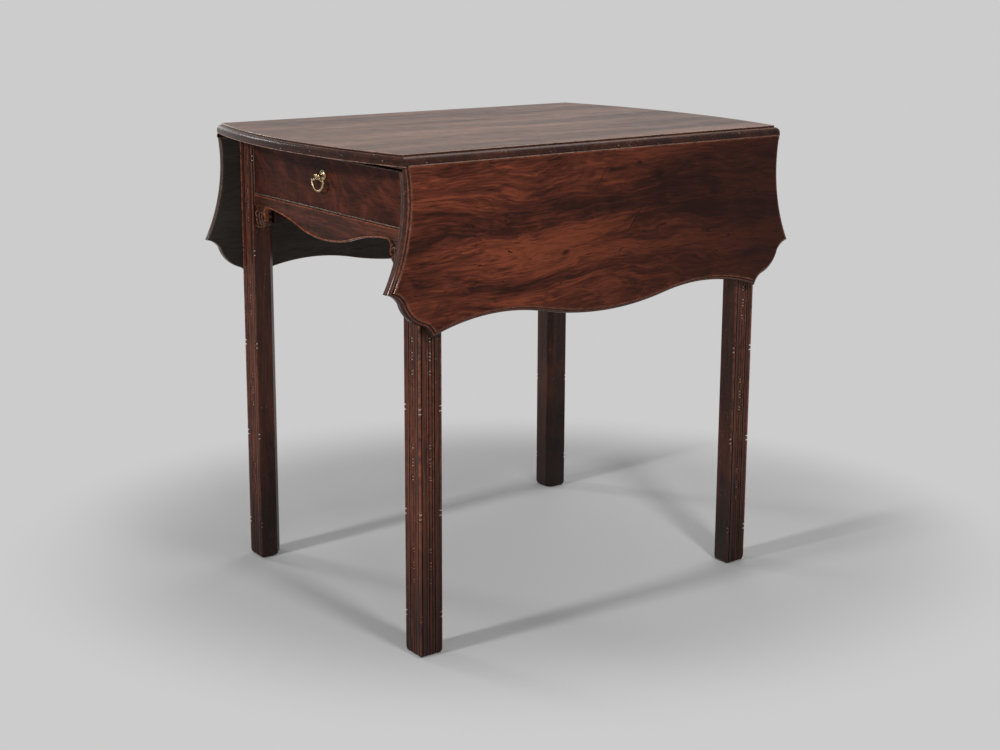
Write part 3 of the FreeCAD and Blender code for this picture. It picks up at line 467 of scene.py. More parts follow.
class Board:
    """Helps to wire one material's nodes."""

    def __init__(self, name: str) -> None:
        """Makes a node material with a principled shader.

        Args:
            name: The material's name.
        """
        self.material = bpy.data.materials.new(name)
        self.material.use_nodes = True
        self.tree = self.material.node_tree
        self.shader = next(n for n in self.tree.nodes if n.type == "BSDF_PRINCIPLED")

    def node(
        self, kind: str, inputs: dict[int | str, object] | None = None, **values: object
    ) -> bpy.types.Node:
        """Adds a node.

        Args:
            kind: The node's type.
            inputs: What its sockets get, each a value or another socket.
            values: Its plain properties.

        Returns:
            The node.
        """
        made = self.tree.nodes.new(kind)
        for key, value in values.items():
            setattr(made, key, value)
        for key, value in (inputs or {}).items():
            if isinstance(value, Socket):
                self.link(value, made.inputs[key])
            else:
                made.inputs[key].default_value = value
        return made

    def link(self, source: Socket, target: Socket) -> None:
        """Joins two sockets."""
        self.tree.links.new(source, target)

    def colour(self, source: Socket) -> None:
        """Gives the shader its colour."""
        self.link(source, self.shader.inputs["Base Color"])

    def roughness(self, source: Socket) -> None:
        """Gives the shader its roughness."""
        self.link(source, self.shader.inputs["Roughness"])

    def math(
        self, operation: str, a: Socket | float, b: Socket | float, clamp: bool = False
    ) -> Socket:
        """A sum, product or other reckoning of two values, clamped to 0 and 1 where asked."""
        inputs = {0: a, 1: b}
        return self.node("ShaderNodeMath", inputs, operation=operation, use_clamp=clamp).outputs[0]

    def mix(self, factor: Socket, a: Socket | Colour, b: Socket | Colour) -> Socket:
        """A mix of two colours.

        Args:
            factor: The second colour's share.
            a: The first colour.
            b: The second colour.

        Returns:
            The mixed colour.
        """
        first, second = (c if isinstance(c, Socket) else (*c, 1.0) for c in (a, b))
        inputs = {"Factor": factor, 6: first, 7: second}
        return self.node("ShaderNodeMix", inputs, data_type="RGBA").outputs[2]

    def ramp(self, factor: Socket, stops: Sequence[Point]) -> Socket:
        """A grey ramp.

        Args:
            factor: Where on the ramp a place lies.
            stops: The place and the level of each of the ramp's two stops.

        Returns:
            The level.
        """
        made = self.node("ShaderNodeValToRGB", {0: factor})
        for element, (place, level) in zip(made.color_ramp.elements, stops):
            element.position = place
            element.color = (level, level, level, 1.0)
        return made.outputs[0]

    def fade(self, value: Socket, low: float, high: float, most: float = 1.0) -> Socket:
        """A soft step from nothing to a share.

        Args:
            value: The value that the step runs along.
            low: Where it starts.
            high: Where it ends.
            most: The share that it ends at.

        Returns:
            The share.
        """
        inputs = {"Value": value, "From Min": low, "From Max": high, "To Max": most}
        made = self.node("ShaderNodeMapRange", inputs, interpolation_type="SMOOTHSTEP")
        return made.outputs["Result"]

    def coords(self) -> Socket:
        """The piece's own coordinates."""
        return self.node("ShaderNodeTexCoord").outputs["Object"]

    def place(self, turn: Triple, scale: Triple, shift: Triple = NO_TURN) -> Socket:
        """The piece's coordinates, turned and shifted and then stretched.

        Args:
            turn: The turn about each axis.
            scale: The stretch along each axis.
            shift: The shift along each axis.

        Returns:
            The new coordinates.
        """
        inputs = {"Vector": self.coords(), "Rotation": turn, "Location": shift}
        inputs = {"Vector": self.node("ShaderNodeMapping", inputs).outputs[0], "Scale": scale}
        return self.node("ShaderNodeMapping", inputs).outputs[0]

    def noise(
        self,
        vector: Socket,
        scale: float,
        detail: float,
        rough: float = 0.55,
        bend: float = 0.0,
    ) -> Socket:
        """Cloudy noise.

        Args:
            vector: The coordinates that it lies on.
            scale: How close its clouds stand.
            detail: How many finer layers it has.
            rough: How strong the finer layers are.
            bend: How far it is distorted.

        Returns:
            The noise, about one half.
        """
        inputs = {"Vector": vector, "Scale": scale, "Detail": detail}
        inputs |= {"Roughness": rough, "Distortion": bend}
        return self.node("ShaderNodeTexNoise", inputs).outputs["Fac"]

    def cells(self, vector: Socket) -> Socket:
        """How far each place lies from the nearest of scattered points."""
        inputs = {"Vector": vector, "Scale": 1.0}
        return self.node("ShaderNodeTexVoronoi", inputs, feature="F1").outputs["Distance"]

    def stretched(self, vector: Socket, scale: Triple) -> Socket:
        """Coordinates stretched along their axes."""
        inputs = {0: vector, 1: scale}
        return self.node("ShaderNodeVectorMath", inputs, operation="MULTIPLY").outputs[0]

    def warped(self, vector: Socket, drift: Socket, scale: float, amount: float) -> Socket:
        """Coordinates that wander, as grain does.

        Args:
            vector: The straight coordinates.
            drift: The coordinates that the wandering lies on.
            scale: How close its bends stand.
            amount: How far it goes, in metres.

        Returns:
            The wandering coordinates.
        """
        cloud = self.node("ShaderNodeTexNoise", {"Vector": drift, "Scale": scale, "Detail": 3.0})
        inputs = {0: cloud.outputs["Color"], 1: (amount, amount, amount), 2: vector}
        return self.node("ShaderNodeVectorMath", inputs, operation="MULTIPLY_ADD").outputs[0]

    def tilted(self, vector: Socket, angle: float) -> Socket:
        """Coordinates with grain along X, turned across it by an angle in degrees."""
        inputs = {"Vector": vector, "Axis": (0.0, 1.0, 0.0), "Angle": math.radians(angle)}
        return self.node("ShaderNodeVectorRotate", inputs, rotation_type="AXIS_ANGLE").outputs[0]

    def bump(self, height: Socket, strength: float, distance: float) -> None:
        """Gives the shader a relief of some strength and of a depth in metres."""
        inputs = {"Height": height, "Strength": strength, "Distance": distance}
        self.link(self.node("ShaderNodeBump", inputs).outputs[0], self.shader.inputs["Normal"])


@dataclass(frozen=True)
class Tones:
    """A wood's colours, from its dark lines to its rubbed arrises."""

    dark: Colour
    middle: Colour
    light: Colour
    worn: Colour

    def deepened(self, share: float) -> Colour:
        """A share of the dark tone, for pores, knots and painted shade."""
        red, green, blue = self.dark
        return red * share, green * share, blue * share


class Wood(Enum):
    """The woods of the table, as their tones."""

    RED = Tones(
        dark=(0.028, 0.0082, 0.0054),
        middle=(0.090, 0.0222, 0.0120),
        light=(0.200, 0.048, 0.022),
        worn=(0.42, 0.125, 0.052),
    )
    DEEP = Tones(
        dark=(0.017, 0.0074, 0.0056),
        middle=(0.052, 0.0175, 0.0112),
        light=(0.125, 0.036, 0.020),
        worn=(0.30, 0.095, 0.046),
    )
    FADED = Tones(
        dark=(0.058, 0.025, 0.0155),
        middle=(0.110, 0.049, 0.0295),
        light=(0.178, 0.081, 0.048),
        worn=(0.30, 0.17, 0.11),
    )
    BARE = Tones(
        dark=(0.020, 0.011, 0.008),
        middle=(0.045, 0.024, 0.017),
        light=(0.085, 0.048, 0.034),
        worn=(0.36, 0.25, 0.185),
    )
    # Greyed wood, darkened as painted shade where faces look away.
    GREYED_AND_SHADED = Tones(
        dark=(0.034, 0.029, 0.025),
        middle=(0.058, 0.050, 0.044),
        light=(0.088, 0.076, 0.067),
        worn=(0.14, 0.10, 0.075),
    )
    DIM = Tones(
        dark=(0.011, 0.0048, 0.0036),
        middle=(0.030, 0.0105, 0.0070),
        light=(0.066, 0.0215, 0.0125),
        worn=(0.27, 0.125, 0.078),
    )
    FLAMED = Tones(
        dark=(0.014, 0.0052, 0.0038),
        middle=(0.036, 0.0105, 0.0068),
        light=(0.112, 0.0275, 0.0140),
        worn=(0.30, 0.095, 0.046),
    )
    AGED = Tones(
        dark=(0.035, 0.019, 0.012),
        middle=(0.095, 0.050, 0.027),
        light=(0.16, 0.088, 0.048),
        worn=(0.25, 0.15, 0.09),
    )


class Stretch(Enum):
    """How close a mark of the wood stands in a metre, along the grain and both ways across."""

    DRIFT = (2.4, 6.0, 6.0)
    BAND = (1.6, 17.0, 17.0)
    LINE = (4.5, 95.0, 95.0)
    HAIR = (16.0, 330.0, 330.0)
    PORE = (34.0, 640.0, 640.0)
    FLAME = (24.0, 8.0, 8.0)
    NICK = (38.0, 150.0, 150.0)
    KNOT = (7.0, 15.0, 15.0)
    DOT = (24.0, 48.0, 48.0)
    SCRATCH = (10.0, 240.0, 240.0)


@dataclass(frozen=True)
class WoodFinish:
    """Old wood: drifting figure, dark streaks, pores, worn arrises with painted highlights, and
    dirt with painted shade in the quirks.
    """

    name: str
    wood: Wood
    grain: Grain
    shift: Triple = (0.0, 0.0, 0.0)
    figure: float = 1.0
    wave: float = 0.06
    wave_scale: float = 1.4
    spread: float = 0.11
    mottle: float = 0.45
    pores: float = 0.5
    pore_tone: float = 0.3
    knots: float = 0.5
    knot_tone: float = 0.35
    rough: float = 0.30
    rough_drift: float = 0.22
    rubbed_polish: float = 0.08
    shine: float = 0.16
    relief: float = 0.12
    relief_depth: float = 0.0005
    hair_height: float = 0.5
    slant: float = 0.0
    painted_shade: float = 0.0
    shade_tone: float = 0.45
    shade_from: float = -0.34
    shade_to: float = 0.38
    streak: float = 0.0
    coarse: float = 0.42
    fine: float = 0.29
    specks_and_glints: float = 0.0
    flame: float = 1.0
    cloud_scale: float = 4.2
    scratches: float = 0.0
    scratch_slant: float = 52.0
    dirt_and_shade: float = 0.93

    def figured(self, b: Board, wave: Socket, band: Socket, hair: Socket) -> Socket:
        """Mixes bands, lines and hairs of the grain into the body's colour.

        Args:
            b: The material's board.
            wave: Coordinates that wander with the grain.
            band: The grain's broad bands.
            hair: The grain's hairs.

        Returns:
            The body's colour.
        """
        tones = self.wood.value
        line = b.noise(b.stretched(wave, Stretch.LINE.value), 1.0, detail=5.0, rough=0.62)
        blend: Socket | float = NOISE_MIDDLE
        for part, weight in ((band, self.coarse), (line, self.fine), (hair, self.fine)):
            offset = b.math("SUBTRACT", part, NOISE_MIDDLE)
            blend = b.math("ADD", b.math("MULTIPLY", offset, weight), blend)
        low, high = NOISE_MIDDLE - self.spread, NOISE_MIDDLE + self.spread
        lifted = b.ramp(blend, ((low, 0.0), (NOISE_MIDDLE, 1.0)))
        body = b.mix(lifted, tones.dark, tones.middle)
        return b.mix(b.ramp(blend, ((NOISE_MIDDLE, 0.0), (high, 1.0))), body, tones.light)

    def flamed(self, b: Board, plain: Socket, wave: Socket, body: Socket) -> Socket:
        """Lays the flame of cross-grained light over the body.

        Args:
            b: The material's board.
            plain: Straight coordinates.
            wave: Coordinates that wander with the grain.
            body: The body's colour.

        Returns:
            The colour with its flame.
        """
        tilted = b.tilted(wave, self.slant) if self.slant else wave
        cross = b.noise(b.stretched(tilted, Stretch.FLAME.value), self.flame, detail=4.0, bend=0.5)
        cloud = b.noise(plain, self.cloud_scale * self.flame, detail=3.0, rough=0.5)
        lit = b.ramp(cross, ((0.44, 0.0), (0.66, 1.0)))
        glow = b.math("MULTIPLY", lit, b.ramp(cloud, ((0.40, 0.2), (0.58, 1.0))))
        share = b.math("MULTIPLY", glow, self.mottle, clamp=True)
        return b.mix(share, body, self.wood.value.light)

    def blotted(self, b: Board, plain: Socket, wave: Socket, body: Socket) -> Socket:
        """Adds nicks, knots, dots and scratches, and a painted shade that darkens the far end.

        Args:
            b: The material's board.
            plain: Straight coordinates.
            wave: Coordinates that wander with the grain.
            body: The colour so far.

        Returns:
            The colour with its blots.
        """
        tones = self.wood.value
        nicks = b.stretched(wave, Stretch.NICK.value)
        nicks = b.noise(nicks, 1.0, detail=2.0, rough=0.5, bend=1.2)
        nick = b.ramp(nicks, ((0.70, 0.0), (0.745, 1.0)))
        knots = b.cells(b.stretched(wave, Stretch.KNOT.value))
        knot = b.ramp(knots, ((0.03, 1.0), (0.075, 0.0)))
        dots = b.cells(b.stretched(wave, Stretch.DOT.value))
        groups = b.noise(plain, 11.0, detail=2.0, rough=0.5)
        sparse = b.ramp(groups, ((0.55, 0.0), (0.60, 1.0)))
        dot = b.math("MULTIPLY", b.ramp(dots, ((0.06, 1.0), (0.13, 0.0))), sparse)
        marks = b.math("MAXIMUM", b.math("MAXIMUM", knot, nick), dot)
        blot = b.math("MULTIPLY", marks, self.knots)
        if self.scratches:
            slanted = b.stretched(b.tilted(plain, self.scratch_slant), Stretch.SCRATCH.value)
            scored = b.noise(slanted, 1.0, detail=1.0, rough=0.5)
            scratch = b.ramp(scored, ((0.70, 0.0), (0.75, self.scratches)))
            blot = b.math("MAXIMUM", blot, scratch)
        blotted = b.mix(blot, body, tones.deepened(self.knot_tone))
        # Painted shade: the colour darkens along Y towards the far end.
        if self.painted_shade:
            along = b.node("ShaderNodeSeparateXYZ", {0: b.coords()}).outputs["Y"]
            painted_shade = b.fade(along, self.shade_from, self.shade_to, self.painted_shade)
            blotted = b.mix(painted_shade, blotted, tones.deepened(self.shade_tone))
        return blotted

    def weathered(self, b: Board, plain: Socket, body: Socket) -> Socket:
        """Colours the surface by its wear: rubbed arrises, pale chips with painted highlights, and
        quirks darkened with dirt and painted shade.

        Args:
            b: The material's board, whose shader gets the colour.
            plain: Straight coordinates.
            body: The colour so far.

        Returns:
            How far each place is rubbed.
        """
        wear = b.node("ShaderNodeAttribute", attribute_name="wear").outputs["Fac"]
        patch = b.noise(plain, 95.0, detail=5.0, rough=0.7)
        patchy = b.ramp(patch, ((0.36, 0.05), (0.62, 1.0)))
        rubbed = b.math("MULTIPLY", b.math("MAXIMUM", wear, 0.0), patchy, clamp=True)
        orange = b.mix(rubbed, body, self.wood.value.worn)
        # Wear over one and the specks paint a pale colour: chipped wear and painted highlight.
        crumbly = b.ramp(patch, ((0.30, 0.35), (0.52, 1.0)))
        chip_and_highlight_share = b.math("MULTIPLY", b.math("SUBTRACT", wear, 1.0, clamp=True), crumbly)
        if self.specks_and_glints:
            pale_speck_noise = b.noise(plain, 330.0, detail=2.0, rough=0.5)
            speck = b.ramp(pale_speck_noise, ((0.715, 0.0), (0.75, self.specks_and_glints)))
            chip_and_highlight_share = b.math("MAXIMUM", chip_and_highlight_share, speck)
        pale = b.mix(chip_and_highlight_share, orange, PALE_CHIP_AND_HIGHLIGHT)
        # Wear below nothing mixes in the dark colour: dirt and painted shade.
        dirt_and_shade = b.math("MULTIPLY", b.math("MULTIPLY", wear, -1.0, clamp=True), self.dirt_and_shade)
        b.colour(b.mix(dirt_and_shade, pale, DIRT_AND_SHADE_COLOUR))
        return rubbed

    def polished(self, b: Board, plain: Socket, band: Socket, rubbed: Socket) -> None:
        """Gives the surface its gloss, which drifts with handling.

        Args:
            b: The material's board.
            plain: Straight coordinates.
            band: The grain's broad bands.
            rubbed: How far each place is rubbed.
        """
        drift = b.noise(plain, 38.0, detail=5.0, rough=0.6)
        drift = b.math("MULTIPLY", drift, self.rough_drift)
        gloss = b.math("ADD", drift, self.rough - self.rough_drift / 2)
        if self.streak:
            streak = b.math("MULTIPLY", b.math("SUBTRACT", band, NOISE_MIDDLE), self.streak)
            gloss = b.math("ADD", gloss, streak)
        polish = b.math("MULTIPLY", rubbed, self.rubbed_polish)
        b.roughness(b.math("SUBTRACT", gloss, polish, clamp=True))
        b.shader.inputs["Specular IOR Level"].default_value = self.shine

    def material(self) -> Material:
        """Builds the finish.

        Returns:
            The material.
        """
        b = Board(self.name)
        turn = self.grain.value
        plain = b.place(turn, EVEN, self.shift)
        drift = b.place(turn, Stretch.DRIFT.value, self.shift)
        wave = b.warped(plain, drift, self.wave_scale, self.wave)
        band = b.noise(b.stretched(wave, Stretch.BAND.value), self.figure, detail=5.0, bend=0.2)
        hair = b.noise(b.stretched(wave, Stretch.HAIR.value), 1.0, detail=3.0, rough=0.6)
        pits = b.place(turn, Stretch.PORE.value, self.shift)
        pits = b.noise(pits, 1.0, detail=2.0, rough=0.5)
        pore = b.math("MULTIPLY", b.ramp(pits, ((0.32, 1.0), (0.44, 0.0))), self.pores)
        body = self.flamed(b, plain, wave, self.figured(b, wave, band, hair))
        pored = b.mix(pore, body, self.wood.value.deepened(self.pore_tone))
        rubbed = self.weathered(b, plain, self.blotted(b, plain, wave, pored))
        self.polished(b, plain, band, rubbed)
        height = b.math("SUBTRACT", b.math("MULTIPLY", hair, self.hair_height), pore)
        b.bump(height, self.relief, self.relief_depth)
        return b.material


@dataclass(frozen=True)
class MetalFinish:
    """Old metal with a tarnish that drifts and a scratched polish."""

    name: str
    bright: Colour
    dull: Colour
    rough: float
    tarnish: float
    film_rough: float = 0.35
    relief: float = 0.08
    relief_depth: float = 0.0002

    def material(self) -> Material:
        """Builds the finish.

        Returns:
            The material.
        """
        b = Board(self.name)
        plain = b.place(NO_TURN, EVEN)
        spots = b.noise(plain, 260.0, detail=5.0, rough=0.65)
        film = b.ramp(spots, ((0.36, 0.0), (0.70, self.tarnish)))
        b.colour(b.mix(film, self.bright, self.dull))
        b.roughness(b.math("ADD", b.math("MULTIPLY", film, self.film_rough), self.rough))
        b.shader.inputs["Metallic"].default_value = 1.0
        b.bump(b.noise(plain, 900.0, detail=3.0), self.relief, self.relief_depth)
        return b.material


class Palette:
    """Every finish of the table, each made once."""

    def __init__(self) -> None:
        """Makes the materials."""
        # The right leaf darkens towards its far end as painted shade.
        leaf = WoodFinish(
            "leaf_mahogany_right",
            Wood.RED,
            Grain.LONG,
            shift=(-2.21, 1.1, 0.8),
            knots=0.9,
            spread=0.085,
            shine=0.08,
            painted_shade=0.86,
            figure=0.85,
            wave=0.09,
            coarse=0.68,
            fine=0.30,
            scratches=0.7,
        )
        far_leaf = replace(leaf, name="leaf_mahogany_left", shift=(3.1, 0.7, 1.9), painted_shade=0.0)
        self.leaf = {Side.RIGHT: leaf.material(), Side.LEFT: far_leaf.material()}
        lip = WoodFinish(
            "lip_mahogany",
            Wood.DIM,
            Grain.LONG,
            shift=(1.3, 0.4, 0.0),
            rough=0.20,
            shine=0.22,
            specks_and_glints=0.5,
        )
        self.lip = lip.material()
        self.carving = replace(
            lip, name="carving_mahogany", grain=Grain.UPRIGHT, shift=(0.2, 0.0, 0.0)
        ).material()
        self.moulding = WoodFinish(
            "moulding_mahogany",
            Wood.DIM,
            Grain.ACROSS,
            shift=(1.3, 0.4, 0.0),
            rough=0.26,
            shine=0.12,
            specks_and_glints=0.8,
            relief=0.04,
        ).material()
        # Greyed wood for the underside and the leaves' backs, darkened as painted shade.
        self.under = WoodFinish(
            "under_mahogany",
            Wood.GREYED_AND_SHADED,
            Grain.LONG,
            rough=0.8,
            shine=0.05,
            coarse=0.25,
            fine=0.15,
        ).material()
        self.top = WoodFinish(
            "top_mahogany",
            Wood.FADED,
            Grain.LONG,
            shift=(0.4, 2.2, 0.0),
            mottle=0.1,
            rough=0.34,
            spread=0.08,
            streak=-0.12,
            coarse=0.6,
            fine=0.2,
        ).material()
        self.leg = WoodFinish(
            "leg_mahogany", Wood.DEEP, Grain.UPRIGHT, mottle=0.3, shine=0.2, specks_and_glints=0.3
        ).material()
        self.rail = WoodFinish("rail_mahogany", Wood.DEEP, Grain.ACROSS, shine=0.06).material()
        self.drawer = WoodFinish(
            "drawer_mahogany",
            Wood.FLAMED,
            Grain.ACROSS,
            shift=(0.0, 0.0, 0.3),
            figure=1.2,
            mottle=1.0,
            wave=0.14,
            slant=40.0,
            flame=2.4,
            shine=0.04,
            coarse=0.3,
            fine=0.12,
        ).material()
        self.bead = WoodFinish(
            "bead_mahogany", Wood.BARE, Grain.ACROSS, rough=0.28, shine=0.10, specks_and_glints=0.4
        ).material()
        oak = WoodFinish(
            "oak_across", Wood.AGED, Grain.ACROSS, rough=0.7, shine=0.2, relief=0.3
        )
        long_oak = replace(oak, name="oak_long", grain=Grain.LONG)
        self.oak = {Grain.ACROSS: oak.material(), Grain.LONG: long_oak.material()}
        self.brass = MetalFinish(
            "brass", bright=(0.66, 0.51, 0.30), dull=(0.20, 0.13, 0.06), rough=0.20, tarnish=0.75
        ).material()
        self.iron = MetalFinish(
            "iron", bright=(0.16, 0.145, 0.13), dull=(0.06, 0.045, 0.035), rough=0.42, tarnish=0.9
        ).material()


def settle(
    obj: bpy.types.Object, body: str, material: Material, nodes: Sequence[str] = ()
) -> None:
    """Dresses a piece, hangs it on its body and lets it stand for its CAD nodes.

    Args:
        obj: The piece, in place.
        body: The CAD body that it moves with.
        material: The piece's finish.
        nodes: The CAD nodes that it stands for.
    """
    obj.data.materials.clear()
    obj.data.materials.append(material)
    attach(obj, body)
    if nodes:
        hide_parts(*nodes)
    LOG.info("%s: %d faces on %s", obj.name, len(obj.data.polygons), body)


def dress_edges(
    obj: bpy.types.Object, edge: Material, back: Material, axis: Vector, broad: float = 0.9
) -> None:
    """Gives finishes of their own to a board's edges and to its back.

    Args:
        obj: The board, already dressed.
        edge: The edges' finish.
        back: The back's finish.
        axis: The way that the broad face looks.
        broad: How nearly a face of the front or back looks along that axis.
    """
    obj.data.materials.append(edge)
    obj.data.materials.append(back)
    for face in obj.data.polygons:
        look = face.normal.dot(axis)
        face.material_index = 0 if look > broad else 2 if look < -broad else 1


@dataclass
class TableTop:
    """Fixed top: bowed ends with a moulded edge, and the rounds of the rule joints."""

    height: float = 711.0
    underside: float = LAYOUT.underside
    hinge_x: float = LAYOUT.hinge_x
    hinge_z: float = LAYOUT.hinge_z
    end_y: float = LAYOUT.end_y
    bow: float = 35.0
    fillet: float = 3.0
    end_round: float = 5.5
    rule_radius: float = 10.0
    margin: float = 1.0
    # Levels of the rings, as shares of the height under the fillet.
    round_shares: tuple[float, ...] = (0.0, 0.04, 0.10, 0.2, 0.32, 0.44, 0.55, 0.60)
    upper_shares: tuple[float, ...] = (0.67, 0.74, 0.81, 0.87, 0.92, 0.96, 0.985)
    # The lowest ring is pale: chipped wear and a painted highlight.
    foot_share: float = 0.05
    foot_wear: float = 1.2
    # A dark band low on the ovolo where the top meets the leaf: painted shadow of the joint, with
    # dirt.
    joint_shadow_shares: Point = (0.5, 0.58)
    dirt_and_shade_level: float = -0.55
    # Reach, rise over the fillet's foot, wear; wear below nothing darkens the quirk with dirt and
    # painted shade.
    quirk: tuple[Triple, ...] = ((0.3, 0.0, -0.8), (0.0, 0.25, -0.5))
    # Reach, drop from the top, wear; wear over one makes the arris pale, as chipped wear and as a
    # painted highlight.
    arris: tuple[Triple, ...] = (
        (0.0, 1.0, 0.2),
        (-0.12, 0.5, 1.3),
        (-0.5, 0.12, 1.3),
        (-1.0, 0.0, 0.4),
        (-4.0, 0.0, 0.0),
    )
    # Near and far distance from the middle, floor, top.
    beds: tuple[tuple[float, float, float, float], ...] = (
        (221.6, 258.0, 690.0, 697.0),
        (254.6, 261.4, 690.0, 701.4),
        (258.0, 275.0, 690.0, 697.4),
    )

    def ring(self, side_out: float, end_out: float, z: float, count: int = 56) -> list[Vector]:
        """The plan's outline at one level.

        Args:
            side_out: How far the long sides stand out from the hinge lines.
            end_out: How far the ends stand out from their arris.
            z: The level.
            count: Points along each end.

        Returns:
            The outline's points.
        """
        crest = self.end_y + self.bow
        radius = (self.hinge_x**2 + self.bow**2) / (2 * self.bow)
        centre = radius - crest
        half = self.hinge_x + side_out
        reach = radius + end_out
        limit = math.asin(half / reach)
        points = []
        for sign in (-1, 1):
            for i in range(count + 1):
                angle = limit * (2 * i / count - 1) * -sign
                y = sign * (reach * math.cos(angle) - centre)
                points.append(Vector((reach * math.sin(angle), y, z)))
        return points

    def levels(self) -> list[tuple[float, float, float, float]]:
        """The rings of the edge, from the underside up.

        Returns:
            Side reach, end reach, level and wear of each ring.
        """
        step = self.height - self.fillet
        joint_shadow_from, joint_shadow_to = self.joint_shadow_shares
        rings = []
        for share in self.round_shares + self.upper_shares:
            z = self.underside + (step - self.underside) * share
            side_out = math.sqrt(max(self.rule_radius**2 - (z - self.hinge_z) ** 2, 0))
            rise = max(z - (step - self.end_round), 0)
            end_out = math.sqrt(max(self.end_round**2 - rise**2, 0))
            wear = self.foot_wear if share < self.foot_share else 0.0
            if joint_shadow_from < share < joint_shadow_to:
                wear = self.dirt_and_shade_level
            rings.append((side_out, end_out, z, wear))
        rings += [(out, out, step + rise, wear) for out, rise, wear in self.quirk]
        rings += [(out, out, self.height - drop, wear) for out, drop, wear in self.arris]
        return rings

    def build(self, palette: Palette) -> None:
        """Makes the top and cuts its hinge beds.

        Args:
            palette: The finishes.
        """
        skin = Skin()
        rings = self.levels()
        side_out, end_out = (out - self.margin for out in rings[0][:2])
        skin.start(self.ring(side_out, end_out, self.underside))
        for side_out, end_out, z, wear in rings:
            skin.grow(self.ring(side_out, end_out, z), wear)
        obj = skin.close().piece("table_top")
        carve(obj, hinge_beds(Side, self.beds))
        settle(obj, "frame", palette.top, ["top_board"])
        dress_edges(obj, palette.moulding, palette.under, Vector((0, 0, 1)))


